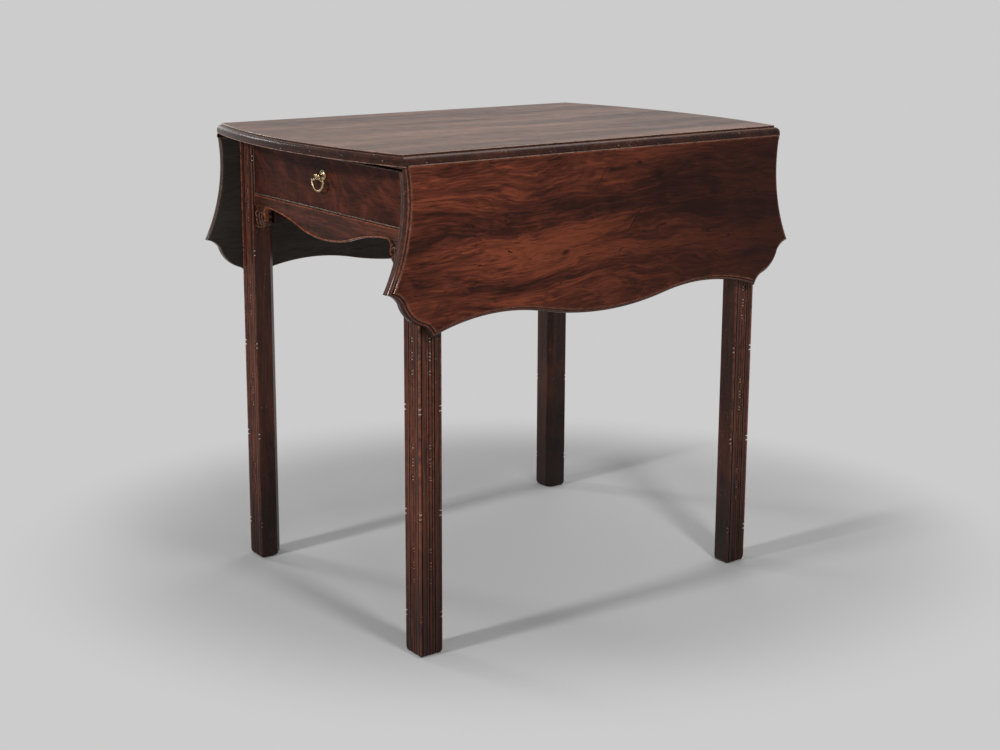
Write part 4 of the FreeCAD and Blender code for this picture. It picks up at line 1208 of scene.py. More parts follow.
@dataclass
class Leaf:
    """Hanging leaf with a moulded, cusped outline and the cove of its rule joint."""

    side: Side
    hinge_x: float = LAYOUT.hinge_x
    hinge_z: float = LAYOUT.hinge_z
    end_y: float = LAYOUT.end_y
    outer: float = 271.0
    inner: float = 255.0
    deep: float = 231.0
    fillet: float = 3.0
    edge_round: float = 5.5
    round_start: float = 4.0
    round_steps: int = 8
    soft: float = 2.2
    margin: float = 2.4
    cove: float = 10.4
    top: float = 697.6
    arc_points: int = 18
    # Degrees round the soft arris, wear.
    arris_wear: tuple[Point, ...] = ((0, 0.15), (20, 0.5), (40, 0.5), (60, 0.3), (90, 0.0))
    # Rise over the fillet's foot, wear; wear below nothing darkens the quirk with dirt and painted
    # shade.
    quirk: Point = (0.1, -0.7)
    # The first ring of the round is darkened with dirt and painted shade; the third is rubbed
    # where the edge glints, worn and a painted highlight.
    round_wear: tuple[float, ...] = (-0.6, 0.1, 0.6)
    # Distance from the middle, wear.
    cove_wear: tuple[Point, ...] = (
        (260.6, 0.3),
        (259.2, 0.0),
        (258.0, 0.0),
        (256.8, 0.0),
        (255.8, 0.0),
    )
    # Rise over the inner face, inset, wear; wear over one makes the inner arris pale, as chipped
    # wear and as a painted highlight.
    back_wear: tuple[Triple, ...] = ((0.3, 0.1, 1.25), (0.0, 0.7, 0.4), (0.0, 3.0, 0.0))
    # Near and far distance from the middle, floor, top.
    beds: tuple[tuple[float, float, float, float], ...] = ((250.0, 257.0, 651.6, 698.0),)
    # Y, drop from the hinge, then how far the moulding moves each outwards and down.
    corner: tuple[tuple[float, float, float, float], ...] = (
        (341.0, 57.0, 1.0, 0.0),
        (369.0, 167.0, 1.365, 0.43),
        (357.5, 172.5, 0.6, 0.8),
        (349.5, 182.0, 0.94, 0.35),
        (338.5, 201.0, 0.72, 0.69),
        (320.5, 212.5, 0.36, 0.93),
        (310.0, 218.5, 0.75, 0.66),
        (303.0, 228.0, 0.45, 1.33),
        (205.0, 210.0, 0.0, 1.0),
        (115.0, 218.0, 0.0, 1.0),
    )

    def outline(self, reach: float) -> list[Point]:
        """The leaf's edge in its hanging plane.

        Args:
            reach: How far the moulding stands out here.

        Returns:
            Points of Y and Z, round the leaf.
        """
        half = [(self.end_y + reach, self.top)]
        for y, drop, out, low in self.corner:
            half.append((y + reach * out, self.hinge_z - drop - reach * low))
        arcs = [(half[i], half[i + 1]) for i in range(1, len(half), 2)]
        mirrored = [(-y, z) for y, z in reversed(half)]
        arcs.append(((0.0, self.hinge_z - self.deep - reach), mirrored[0]))
        arcs += [(mirrored[i], mirrored[i + 1]) for i in range(1, len(mirrored), 2)]
        return walk(half[0], arcs, self.arc_points)

    def ring(self, x: float, reach: float, shrink: float = 0.0) -> list[Vector]:
        """The outline at one depth of the leaf, cut back by the cove.

        Args:
            x: The depth, as a distance from the middle of the table.
            reach: How far the moulding stands out here.
            shrink: How far the outline is drawn in.

        Returns:
            The ring's points.
        """
        away = self.cove**2 - (x - self.hinge_x) ** 2
        crest = self.hinge_z - math.sqrt(away) if away > 0 else self.top
        crest = min(crest, self.top) - shrink
        points = self.outline(reach)
        if shrink:
            points = inset_loop(points, shrink if turns_left(points) else -shrink)
        return [Vector((x * self.side.value, y, min(z, crest))) for y, z in points]

    def board(self) -> Skin:
        """Grows the leaf from its outer face to its back.

        Returns:
            The closed skin.
        """
        step = self.outer - self.fillet
        skin = Skin()
        skin.start(self.ring(self.outer, 0.0, self.soft + self.margin))
        for turn, wear in self.arris_wear:
            angle = math.radians(turn)
            x = self.outer - self.soft * (1 - math.cos(angle))
            skin.grow(self.ring(x, 0.0, self.soft * (1 - math.sin(angle))), wear)
        rise, wear = self.quirk
        skin.grow(self.ring(step + rise, 0.0), wear)
        for i in range(self.round_steps + 1):
            turn = self.round_start + (90 - self.round_start) * i / self.round_steps
            angle = math.radians(turn)
            x = step - self.edge_round * (1 - math.cos(angle))
            wear = self.round_wear[i] if i < len(self.round_wear) else 0.0
            skin.grow(self.ring(x, self.edge_round * math.sin(angle)), wear)
        for x, wear in self.cove_wear:
            skin.grow(self.ring(x, self.edge_round), wear)
        for rise, shrink, wear in self.back_wear:
            skin.grow(self.ring(self.inner + rise, self.edge_round, shrink), wear)
        return skin.close()

    def build(self, palette: Palette) -> None:
        """Makes the leaf and cuts its hinge beds.

        Args:
            palette: The finishes.
        """
        name = f"leaf_{self.side.word}"
        obj = self.board().piece(f"leaf_board_{self.side.word}")
        carve(obj, hinge_beds([self.side], self.beds))
        settle(obj, name, palette.leaf[self.side], [name])
        dress_edges(obj, palette.lip, palette.under, Vector((self.side.value, 0, 0)))


@dataclass
class Leg:
    """Square leg with beads, a reed and carved nicks on its two outer faces."""

    side: Side
    end: End
    size: float = 38.0
    chamfer: float = 9.0
    bead: float = 4.0
    reed: float = 4.6
    flank: float = 2.8
    line: float = 1.0
    quirk: float = 2.1
    lip_share: float = 0.7
    sink: float = 0.4
    flat: float = 1.2
    dip: float = 0.7
    near: float = 0.01
    arc_points: int = 7
    corner_points: int = 12
    inner_x: float = LAYOUT.rail_half
    inner_y: float = 280.0
    height: float = LAYOUT.underside
    # Level, how far the section is drawn in.
    foot: tuple[Point, ...] = ((0.0, 4.6), (0.8, 2.7), (2.2, 1.4), (4.6, 0.45), (8.0, 0.0))
    nick_depth: float = 1.7
    nick_half: float = 1.15
    nick_floor: float = 0.5
    # The nicks are painted pale: chipped wear and a painted highlight on their lips.
    nick_chip_and_highlight: float = 2.0
    # The leg darkens towards its foot with dirt and painted shade.
    darkest_below: float = 60.0
    undarkened_above: float = 210.0
    dirt_and_shade_level: float = 0.8
    sharp: float = 40.0
    reed_middles: tuple[float, ...] = (133.0, 283.0, 433.0, 583.0)
    reed_offsets: tuple[float, ...] = (-25.0, -20.6, -4.7, 0.0, 4.7, 20.6, 25.0)
    corner_middles: tuple[float, ...] = (58.0, 208.0, 358.0, 508.0, 658.0)
    corner_half_gap: float = 3.5

    def face(self) -> list[tuple[Point, Moulding]]:
        """One moulded face from its inner edge to the outer corner.

        Returns:
            Its points, each with the moulding that it belongs to.
        """
        full, low, field = self.size, self.size - self.quirk, self.size - self.sink
        middle = full / 2
        swell, flank = self.reed / 2, self.reed / 2 + self.line + self.flank
        lip = low + self.line * self.lip_share
        marked: list[tuple[Point, Moulding]] = [((0.0, full - self.bead / 2), Moulding.EDGE)]

        def arc(via: Point, stop: Point, part: Moulding) -> None:
            """Adds a rounded or hollow stretch."""
            points = circle_points(marked[-1][0], via, stop, self.arc_points)
            marked.extend((p, part) for p in points)

        def groove(start: float) -> None:
            """Adds a dark quirk, one line wide."""
            marked.extend(((u, low), Moulding.QUIRK) for u in (start, start + self.line))

        arc((self.bead / 2, full), (self.bead, lip), Moulding.EDGE)
        groove(self.bead)
        start = self.bead + self.line
        marked += [((u, field), Moulding.FIELD) for u in (start, start + self.flat)]
        hollow = (self.bead + middle - flank) / 2 + self.line
        arc((hollow, field - self.dip), (middle - flank - self.line, field), Moulding.FIELD)
        groove(middle - flank - self.line)
        half = list(marked)
        start = middle - flank
        marked.append(((start, lip), Moulding.FLANK))
        arc((start + self.flank / 2, field), (start + self.flank, lip), Moulding.FLANK)
        groove(start + self.flank)
        marked.append(((middle - swell, lip), Moulding.REED))
        arc((middle, full), (middle + swell, lip), Moulding.REED)
        groove(middle + swell)
        marked.append(((middle + swell + self.line, lip), Moulding.FLANK))
        arc((middle + flank - self.flank / 2, field), (middle + flank, lip), Moulding.FLANK)
        mirrored = [((full - u, v), part) for (u, v), part in reversed(half)]
        return marked + [m for m in mirrored if m[0][0] < full - self.bead + self.near]

    def section(self) -> list[tuple[Point, Moulding]]:
        """The leg's section, from the chamfer round the two moulded faces.

        Returns:
            Its points, each with the moulding that it belongs to.
        """
        face = self.face()
        other = [((v, u), part) for (u, v), part in reversed(face)]
        tip = self.size - self.bead / 2 * (1 - math.sqrt(0.5))
        corner = circle_points(face[-1][0], (tip, tip), other[0][0], self.corner_points)
        beside = self.size - self.bead / 2 - self.line
        inside = ((self.chamfer, 0.0), (0.0, self.chamfer), (0.0, beside))
        marked = [(p, Moulding.PLAIN) for p in inside] + face
        marked += [(p, Moulding.CORNER) for p in corner[:-1]] + other
        return marked + [((beside, 0.0), Moulding.PLAIN)]

    def ring(
        self, z: float, cut: frozenset[Moulding] = frozenset(), shrink: float = 0.0
    ) -> tuple[list[Vector], list[float]]:
        """The section at one level.

        Args:
            z: The level.
            cut: The mouldings that a nick cuts here.
            shrink: How far the section is drawn in towards its middle.

        Returns:
            The ring's points and their wear.
        """
        ring, wear = [], []
        half = self.size / 2
        low_share = min(max((self.undarkened_above - z) / (self.undarkened_above - self.darkest_below), 0.0), 1.0)
        dirt_and_shade = self.dirt_and_shade_level * low_share
        for (u, v), part in self.section():
            if part in cut:
                u, v = u - self.nick_depth * (u > half), v - self.nick_depth * (v > half)
            u, v = u + (half - u) * shrink / half, v + (half - v) * shrink / half
            x, y = (self.inner_x + u) * self.side.value, (self.inner_y + v) * self.end.value
            ring.append(Vector((x, y, z)))
            wear.append(self.nick_chip_and_highlight - dirt_and_shade if part in cut else max(part.wear - dirt_and_shade, -1.0))
        return ring, wear

    def nicks(self) -> dict[float, frozenset[Moulding]]:
        """The carved nicks.

        Returns:
            The level of each nick and the mouldings that it cuts.
        """
        levels = {}
        for middle in self.reed_middles:
            for offset in self.reed_offsets:
                levels[middle + offset] = frozenset({Moulding.REED})
        for middle in self.corner_middles:
            for offset in (-self.corner_half_gap, self.corner_half_gap):
                levels[middle + offset] = frozenset({Moulding.CORNER, Moulding.EDGE})
        return levels

    def build(self, palette: Palette) -> None:
        """Makes the leg ring by ring from its foot.

        Args:
            palette: The finishes.
        """
        skin = Skin()
        for z, shrink in self.foot:
            skin.lay(*self.ring(z, shrink=shrink))
        for z, cut in sorted(self.nicks().items()):
            floor = self.nick_half * self.nick_floor
            skin.grow(*self.ring(z - self.nick_half))
            skin.grow(*self.ring(z - floor, cut))
            skin.grow(*self.ring(z + floor, cut))
            skin.grow(*self.ring(z + self.nick_half))
        skin.grow(*self.ring(self.height))
        name = f"leg_{self.end.word}_{self.side.word}"
        obj = skin.close().piece(f"moulded_{name}", self.sharp)
        settle(obj, "frame", palette.leg, [name])


@dataclass
class EndRail:
    """End rail with a serpentine lower edge, its bead, and the carving on its two brackets."""

    end: End
    label: str
    top: float
    face: float = LAYOUT.rail_face
    thickness: float = LAYOUT.rail_thick
    half: float = LAYOUT.rail_half
    foot: float = 584.3
    low: float = 558.3
    half_apron: float = 163.0
    # Turn and hollow of the serpentine, as shares of the half apron and of its fall.
    turn: Point = (0.395, 0.73)
    hollow: Point = (0.662, 0.285)
    arc_points: int = 20
    arris: float = 0.25
    soft: float = 0.8
    margin: float = 2.4
    near: float = 0.1
    top_wear: float = 0.95
    foot_wear: float = 0.5
    soft_wear: float = 0.8
    bead: float = 3.0
    bead_sunk: float = -1.2
    bead_wear: float = 0.85
    bead_sharp: float = 50.0
    # Share of the half bead, height over the path.
    bead_section: tuple[Point, ...] = (
        (-1.0, -5.0),
        (1.0, -5.0),
        (1.0, 0.6),
        (0.86, 1.7),
        (0.45, 2.4),
        (0.0, 2.65),
        (-0.45, 2.4),
        (-0.86, 1.7),
        (-1.0, 0.6),
    )
    # Steps of the bead from the rail's foot down the bracket.
    curl: tuple[Point, ...] = (
        (0.0, 0.2),
        (3.4, -2.2),
        (5.8, -6.2),
        (7.0, -10.6),
        (5.4, -15.0),
        (5.6, -19.4),
        (7.4, -22.0),
    )
    curl_points: int = 6
    bracket_reach: float = 40.0
    bracket_drop: float = 33.0
    # Shares of the bracket's reach and drop, passed and reached by each arc.
    lobes: tuple[tuple[Point, Point], ...] = (
        ((0.87, 0.08), (0.82, 0.27)),
        ((0.86, 0.41), (0.79, 0.55)),
        ((0.82, 0.75), (0.64, 0.91)),
        ((0.34, 1.0), (0.0, 1.0)),
    )
    lobe_points: int = 9
    # Inset, distance out from the rail, wear; the back ring's wear below nothing darkens it with
    # dirt and painted shade.
    plate_rings: tuple[Triple, ...] = (
        (1.4, -1.4, 0.0),
        (0.4, -1.7, 0.3),
        (0.0, -2.6, 0.2),
        (0.0, -12.0, -0.3),
    )
    piercings: tuple[Point, ...] = ((28.4, 16.5), (20.4, 14.5), (10.0, 11.9), (13.6, 19.5))
    # Distance along the bore, radius.
    drill: tuple[Point, ...] = ((0.0, 0.0), (0.0, 2.2), (25.0, 2.2), (25.0, 0.0))
    drill_start: float = -20.0
    drill_steps: int = 20
    scroll_points: int = 7
    scroll_sunk: float = -1.0
    scroll_tall: float = 2.4
    scroll_tip: float = 0.3
    scroll_swell: float = 0.8
    scroll_blunt: float = 0.05
    scroll_sharp: float = 60.0
    # Each scroll's line on the bracket, half its width, wear.
    scrolls: tuple[tuple[tuple[Point, ...], float, float], ...] = (
        (
            (
                (32.0, 15.5),
                (30.6, 11.4),
                (26.6, 9.4),
                (22.0, 9.0),
                (18.0, 10.6),
                (16.6, 14.6),
                (17.8, 18.6),
            ),
            1.5,
            0.5,
        ),
        (((24.6, 9.6), (24.4, 13.5), (24.6, 17.5), (26.4, 21.4)), 1.3, 0.45),
        (
            ((15.0, 9.6), (11.2, 7.8), (7.0, 8.8), (5.2, 12.4), (6.6, 16.2), (10.4, 16.6)),
            1.4,
            0.5,
        ),
        (((13.4, 11.0), (14.6, 14.4), (17.4, 18.0), (17.6, 23.0), (15.2, 28.4)), 1.5, 0.3),
        (((6.8, 17.6), (8.4, 21.6), (9.2, 26.0), (12.4, 30.2)), 1.5, 0.5),
        (((27.6, 20.6), (30.2, 23.4), (30.0, 27.0), (26.6, 29.6)), 1.7, 0.4),
        (((22.8, 19.2), (24.6, 23.6), (23.4, 28.4), (19.0, 31.0)), 1.8, 0.4),
        (((19.6, 21.0), (20.4, 25.0), (18.4, 29.6)), 1.6, 0.3),
        (((31.6, 27.0), (27.0, 31.0), (18.0, 32.2), (8.0, 32.2), (1.5, 31.0)), 1.2, 0.5),
        (((34.0, 6.6), (31.4, 8.0), (30.0, 6.0), (32.0, 4.6)), 1.4, 0.4),
    )

    @property
    def out(self) -> Vector:
        """The way that the rail's outer face looks."""
        return Vector((0, self.end.value, 0))

    def edge(self, lift: float) -> list[Point]:
        """The serpentine from left to right.

        Args:
            lift: How far it is lifted for the bead.

        Returns:
            Points of X and Z.
        """
        fall = self.foot - self.low
        turn, hollow = (
            (self.half_apron * along, self.foot - fall * down + lift)
            for along, down in (self.turn, self.hollow)
        )
        rest = (self.half_apron, self.foot + lift)
        left = [(-x, z) for x, z in (rest, hollow, turn)]
        arcs = [(left[1], left[2]), ((0.0, self.low + lift), turn), (hollow, rest)]
        return walk(left[0], arcs, self.arc_points)

    def at(self, x: float, z: float, proud: float = 0.0) -> Vector:
        """A point on the rail's outer face, or proud of it."""
        return Vector((x, (self.face + proud) * self.end.value, z))

    def board(self, palette: Palette) -> None:
        """Makes the rail with softened arrises.

        Args:
            palette: The finishes.
        """
        ends = [(self.half_apron, self.foot), (self.half, self.foot)]
        outline = [(-x, z) for x, z in reversed(ends)] + self.edge(self.bead) + ends
        outline += [(self.half, self.top), (-self.half, self.top)]
        worn = []
        for x, z in outline:
            low = self.foot_wear if abs(x) > self.half_apron - self.near else 0.0
            worn.append(self.top_wear if z > self.top - self.near else low)
        softly = [wear * self.soft_wear for wear in worn]
        rings = (
            (self.margin, 0.0, 0.0),
            (self.soft, 0.0, softly),
            (self.arris, -self.arris, worn),
            (0.0, -self.soft, worn),
            (0.0, -self.thickness, 0.0),
        )
        skin = Skin()
        for inset, proud, wear in rings:
            skin.lay([self.at(x, z, proud) for x, z in inset_loop(outline, inset)], wear)
        obj = skin.close().piece(f"{self.label}_board")
        settle(obj, "frame", palette.rail, [self.label])

    def bead_path(self) -> list[Point]:
        """The bead's middle line, from one bracket's curl to the other's.

        Returns:
            Points of X and Z.
        """
        x0, z0 = self.half - self.bracket_reach, self.foot + self.bead / 2
        right = smooth_path([(x0 + x, z0 + z) for x, z in self.curl], self.curl_points)
        left = [(-x, z) for x, z in reversed(right)]
        return left + self.edge(self.bead / 2)[1:-1] + right

    def strip(self, palette: Palette) -> None:
        """Makes the bead that runs under the rail and down both brackets.

        Args:
            palette: The finishes.
        """
        path = [self.at(x, z, self.bead_sunk) for x, z in self.bead_path()]
        half = self.bead / 2
        profile = [(half * u, v) for u, v in self.bead_section]
        skin = sweep(path, profile, self.out, wear=self.bead_wear)
        obj = skin.piece(f"{self.label}_edge_bead", self.bead_sharp)
        settle(obj, "frame", palette.rail, [f"{self.label}_bead"])

    def on_bracket(self, side: Side, points: Sequence[Point], proud: float) -> list[Vector]:
        """Points given from the corner of leg and rail, set on one bracket."""
        return [self.at((self.half - d) * side.value, self.foot - h, proud) for d, h in points]

    def plate(self, side: Side, palette: Palette) -> None:
        """Makes one bracket's lobed, pierced plate.

        Args:
            side: The bracket's side.
            palette: The finishes.
        """
        reach, drop = self.bracket_reach, self.bracket_drop
        arcs = [[(reach * d, drop * h) for d, h in lobe] for lobe in self.lobes]
        outline = walk((reach, 0.0), arcs, self.lobe_points) + [(0.0, 0.0)]
        sign = 1.0 if turns_left(outline) else -1.0
        skin = Skin()
        for inset, proud, wear in self.plate_rings:
            skin.lay(self.on_bracket(side, inset_loop(outline, sign * inset), proud), wear)
        name = f"bracket_{self.end.word}_{side.word}"
        obj = skin.close().piece(f"plate_{name}")
        holes = Skin()
        for start in self.on_bracket(side, self.piercings, self.drill_start):
            holes.add(turned(self.drill, start, self.out, self.drill_steps))
        carve(obj, holes)
        settle(obj, "frame", palette.carving, [name])

    def carving(self, side: Side, palette: Palette) -> None:
        """Makes the scrolls and leaves that stand on one bracket.

        Args:
            side: The bracket's side.
            palette: The finishes.
        """
        whole = Skin()
        blunt = self.scroll_blunt
        for points, half, wear in self.scrolls:
            line = smooth_path(points, self.scroll_points)
            path = self.on_bracket(side, line, self.scroll_sunk)
            last = len(path) - 1
            shares = [min(max(i / last, blunt), 1 - blunt) for i in range(last + 1)]
            sizes = [self.scroll_tip + self.scroll_swell * math.sin(math.pi * s) for s in shares]
            profile = round_profile(half, self.scroll_tall)
            whole.add(sweep(path, profile, self.out, sizes, wear))
        obj = whole.piece(f"bracket_carving_{self.end.word}_{side.word}", self.scroll_sharp)
        settle(obj, "frame", palette.carving)

    def build(self, palette: Palette) -> None:
        """Makes the rail, its bead and the carvings.

        Args:
            palette: The finishes.
        """
        self.board(palette)
        self.strip(palette)
        for side in Side:
            self.plate(side, palette)
            self.carving(side, palette)


@dataclass
class UpperRail:
    """Thin rail over the drawer, its lower arris rubbed in places."""

    half: float = LAYOUT.rail_half
    face: float = LAYOUT.rail_face
    thickness: float = LAYOUT.rail_thick
    foot: float = 684.0
    top: float = LAYOUT.underside
    soft: float = 0.7
    arris_share: float = 0.3
    margin: float = 2.0
    rubs: int = 90
    rub: float = 0.55
    rub_swing: float = 0.75
    rub_beats: Point = (2.3, 0.71)
    rub_start: float = 1.0
    # The back ring's wear below nothing darkens the rail towards its back with dirt and painted
    # shade.
    back_wear: float = -0.5

    def ring(self, proud: float, inset: float) -> tuple[list[Vector], list[float]]:
        """The rail's outline at one depth.

        Args:
            proud: How far the ring stands out from the rail's face.
            inset: How far it is drawn in at the upper and lower arris.

        Returns:
            The ring's points and their wear.
        """
        y, low, high = -(self.face + proud), self.foot + inset, self.top - inset
        quick, slow = self.rub_beats
        ring, wear = [], []
        for i in range(self.rubs + 1):
            ring.append(Vector((self.half * (2 * i / self.rubs - 1), y, low)))
            swing = self.rub_swing * math.sin(quick * i) * math.sin(slow * i + self.rub_start)
            wear.append(self.rub + swing)
        ring += [Vector((self.half, y, high)), Vector((-self.half, y, high))]
        return ring, wear + [0.0, 0.0]

    def build(self, palette: Palette) -> None:
        """Makes the rail.

        Args:
            palette: The finishes.
        """
        arris = self.soft * self.arris_share
        skin = Skin()
        skin.start(self.ring(0.0, self.soft + self.margin)[0])
        for proud, inset in ((0.0, self.soft), (-arris, arris), (-self.soft, 0.0)):
            skin.grow(*self.ring(proud, inset))
        skin.grow(self.ring(-self.thickness, 0.0)[0], self.back_wear)
        obj = skin.close().piece("upper_rail_board")
        settle(obj, "frame", palette.rail, ["upper_rail"])


@dataclass
class DrawerTrim:
    """Cockbead round the drawer front."""

    half: float = 211.0
    floor: float = 602.5
    top: float = 682.5
    face: float = LAYOUT.rail_face
    bead: float = 3.0
    proud: float = 2.0
    depth: float = 8.0
    spring: float = 0.3
    facets: int = 8
    crest: tuple[int, ...] = (3, 4, 5)
    crest_wear: float = 0.25
    # Wear below nothing darkens the bead's edges against the drawer with dirt and painted shade.
    outer_dirt_and_shade: float = -0.2
    inner_dirt_and_shade: float = -0.8
    sharp: float = 50.0

    def ring(self, inset: float, proud: float) -> list[Vector]:
        """A rectangle round the drawer front.

        Args:
            inset: How far it is drawn in.
            proud: How far it is brought forward.

        Returns:
            Its corners.
        """
        x, low, high = self.half - inset, self.floor + inset, self.top - inset
        y = -(self.face + proud)
        return [Vector((u, y, z)) for u, z in ((-x, low), (x, low), (x, high), (-x, high))]

    def build(self, palette: Palette) -> None:
        """Makes the mitred bead.

        Args:
            palette: The finishes.
        """
        skin = Skin()
        skin.start(self.ring(0.0, -self.depth), cap=False)
        skin.grow(self.ring(0.0, self.spring), self.outer_dirt_and_shade)
        for i in range(1, self.facets):
            angle = math.pi * i / self.facets
            inset = self.bead / 2 * (1 - math.cos(angle))
            proud = self.spring + (self.proud - self.spring) * math.sin(angle)
            skin.grow(self.ring(inset, proud), self.crest_wear if i in self.crest else 0.0)
        skin.grow(self.ring(self.bead, self.spring), self.inner_dirt_and_shade)
        skin.grow(self.ring(self.bead, -self.depth))
        skin.grow(self.ring(0.0, -self.depth))
        obj = skin.join_ends().piece("drawer_cockbead", self.sharp)
        nodes = [f"cockbead_{word}" for word in ("top", "bottom", "left", "right")]
        settle(obj, "drawer", palette.bead, nodes)


@dataclass
class DropPull:
    """Brass pull: domed rosette, ball-ended post and a shaped drop."""

    face: float = LAYOUT.rail_face
    height: float = 654.5
    reach: float = 9.0
    # Distance along the axis, radius; the post, the ear and the pin are given in the same way.
    rosette: tuple[Point, ...] = (
        (0.0, 0.0),
        (0.0, 7.6),
        (0.5, 8.0),
        (1.0, 7.7),
        (1.3, 6.6),
        (1.9, 6.0),
        (2.4, 4.8),
        (3.0, 3.8),
        (3.0, 0.0),
    )
    rosette_steps: int = 40
    post: tuple[Point, ...] = (
        (-23.9, 0.0),
        (-23.9, 2.3),
        (3.2, 2.5),
        (4.0, 3.1),
        (4.6, 2.4),
        (5.3, 2.2),
    )
    post_steps: int = 28
    ball: float = 4.0
    ball_start: float = 33.0
    ball_points: int = 12
    drop_half: float = 18.0
    drop_tall: float = 24.0
    cusp_drop: float = 7.2
    band: float = 1.6
    band_shares: Point = (0.95, 0.85)
    swell: float = 0.22
    # Distance from the middle, drop under the pin; the tip's drop is counted from cusp_drop.
    cusp: tuple[Point, ...] = ((5.6, 0.0), (5.0, 2.4), (5.1, 4.0), (6.8, 5.6), (10.0, 6.8))
    cusp_tip: Point = (13.4, 0.2)
    cusp_points: int = 5
    belly: Point = (0.707, 0.69)
    belly_points: int = 24
    knob: float = 1.5
    knob_place: Point = (0.3, -0.1)
    ear: tuple[Point, ...] = (
        (0.0, 0.0),
        (0.0, 2.2),
        (0.6, 2.6),
        (1.8, 2.6),
        (2.4, 2.1),
        (2.4, 0.0),
    )
    ear_x: float = 4.4
    ear_steps: int = 20
    pin: tuple[Point, ...] = ((-4.6, 0.0), (-4.6, 1.15), (4.6, 1.15), (4.6, 0.0))
    pin_steps: int = 16
    bar: tuple[Point, ...] = ((-5.2, 3.9), (-2.6, 5.0), (0.0, 5.3), (2.6, 5.0), (5.2, 3.9))
    bar_radius: float = 0.9
    bar_facets: int = 10
    bar_points: int = 4
    sharp: float = 60.0

    @property
    def out(self) -> Vector:
        """The way out from the drawer front."""
        return Vector((0, -1, 0))

    def at(self, x: float, drop: float, proud: float) -> Vector:
        """A point beside, under and in front of the pull's foot."""
        return Vector((x, -(self.face + proud), self.height - drop))

    def fixed(self, palette: Palette) -> None:
        """Makes the rosette and the post.

        Args:
            palette: The finishes.
        """
        foot = self.at(0, 0, 0)
        obj = turned(self.rosette, foot, self.out, self.rosette_steps).piece("pull_rosette_turned")
        settle(obj, "drawer", palette.brass, ["pull_rosette"])
        post = list(self.post)
        for i in range(1, self.ball_points):
            angle = math.radians(
                self.ball_start + (180 - self.ball_start) * i / self.ball_points
            )
            along = self.reach - self.ball * math.cos(angle)
            post.append((along, self.ball * math.sin(angle)))
        post.append((self.reach + self.ball, 0.0))
        obj = turned(post, foot, self.out, self.post_steps).piece("pull_post_turned")
        settle(obj, "drawer", palette.brass, ["pull_post"])

    def loop(self) -> list[Point]:
        """The drop's middle line, down one side and up the other.

        Returns:
            Points of X and distance under the pin.
        """
        half, tall = self.drop_half - self.band, self.drop_tall - self.band
        lift = self.cusp_drop
        tip_x, tip_drop = self.cusp_tip
        cusp = [*self.cusp, (tip_x, lift + tip_drop), (half, lift)]
        out, down = self.belly
        via = (half * out, lift + (tall - lift) * down)
        belly = circle_points((half, lift), via, (0.0, tall), self.belly_points)
        right = smooth_path(cusp, self.cusp_points) + belly
        return right + [(-x, z) for x, z in reversed(right[:-1])]

    def drop(self, palette: Palette) -> None:
        """Makes the drop with its knobs, ears, pin and bar.

        Args:
            palette: The finishes.
        """
        path = [self.at(x, z, self.reach) for x, z in self.loop()]
        last = len(path) - 1
        sizes = [1.0 - self.swell * math.cos(math.tau * i / last) for i in range(last + 1)]
        wide, thick = (self.band * share for share in self.band_shares)
        skin = sweep(path, round_profile(wide, thick), self.out, sizes)
        knob_out, knob_drop = self.knob_place
        for sign in (-1, 1):
            x = sign * (self.drop_half - self.band + knob_out)
            knob = bmesh.ops.create_uvsphere(
                skin.bm, u_segments=14, v_segments=10, radius=self.knob
            )["verts"]
            tip = self.at(x, self.cusp_drop + knob_drop, self.reach)
            bmesh.ops.translate(skin.bm, vec=tip, verts=knob)
        for sign in (-1, 1):
            start = self.at(sign * self.ear_x, 0, self.reach)
            skin.add(turned(self.ear, start, Vector((sign, 0, 0)), self.ear_steps))
        start = self.at(0, 0, self.reach)
        skin.add(turned(self.pin, start, Vector((1, 0, 0)), self.pin_steps))
        line = smooth_path(self.bar, self.bar_points)
        profile = round_profile(self.bar_radius, self.bar_radius, self.bar_facets)
        skin.add(sweep([self.at(x, z, self.reach) for x, z in line], profile, self.out))
        obj = skin.piece("pull_drop_cast", self.sharp)
        settle(obj, "pull", palette.brass, ["pull_drop"])

    def build(self, palette: Palette) -> None:
        """Makes the whole pull."""
        self.fixed(palette)
        self.drop(palette)


@dataclass
class Carcase:
    """The pieces that keep their CAD shape and get a finish."""

    flamed: tuple[str, ...] = ("drawer_front",)
    carved: tuple[str, ...] = ("bracket", "side_bracket")
    iron: tuple[str, ...] = ("top_screws", "fly_pins", "hinge")
    brass: tuple[str, ...] = ("pull",)
    across: tuple[str, ...] = ("drawer_back", "drawer_bottom", "drawer_stops", "glue_blocks")

    def finish_for(self, name: str, palette: Palette) -> Material:
        """The finish of one CAD node.

        Args:
            name: The node's name.
            palette: The finishes.

        Returns:
            The node's finish.
        """
        if name in self.flamed:
            return palette.drawer
        if name.startswith(self.carved):
            return palette.carving
        if name.startswith(self.iron):
            return palette.iron
        if name.startswith(self.brass):
            return palette.brass
        return palette.oak[Grain.ACROSS if name in self.across else Grain.LONG]

    def build(self, palette: Palette) -> None:
        """Dresses every CAD node that still shows.

        Args:
            palette: The finishes.
        """
        for name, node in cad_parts.items():
            if node.hide_render:
                continue
            node.data.materials.clear()
            node.data.materials.append(self.finish_for(name, palette))
            LOG.info("%s keeps its CAD shape", name)


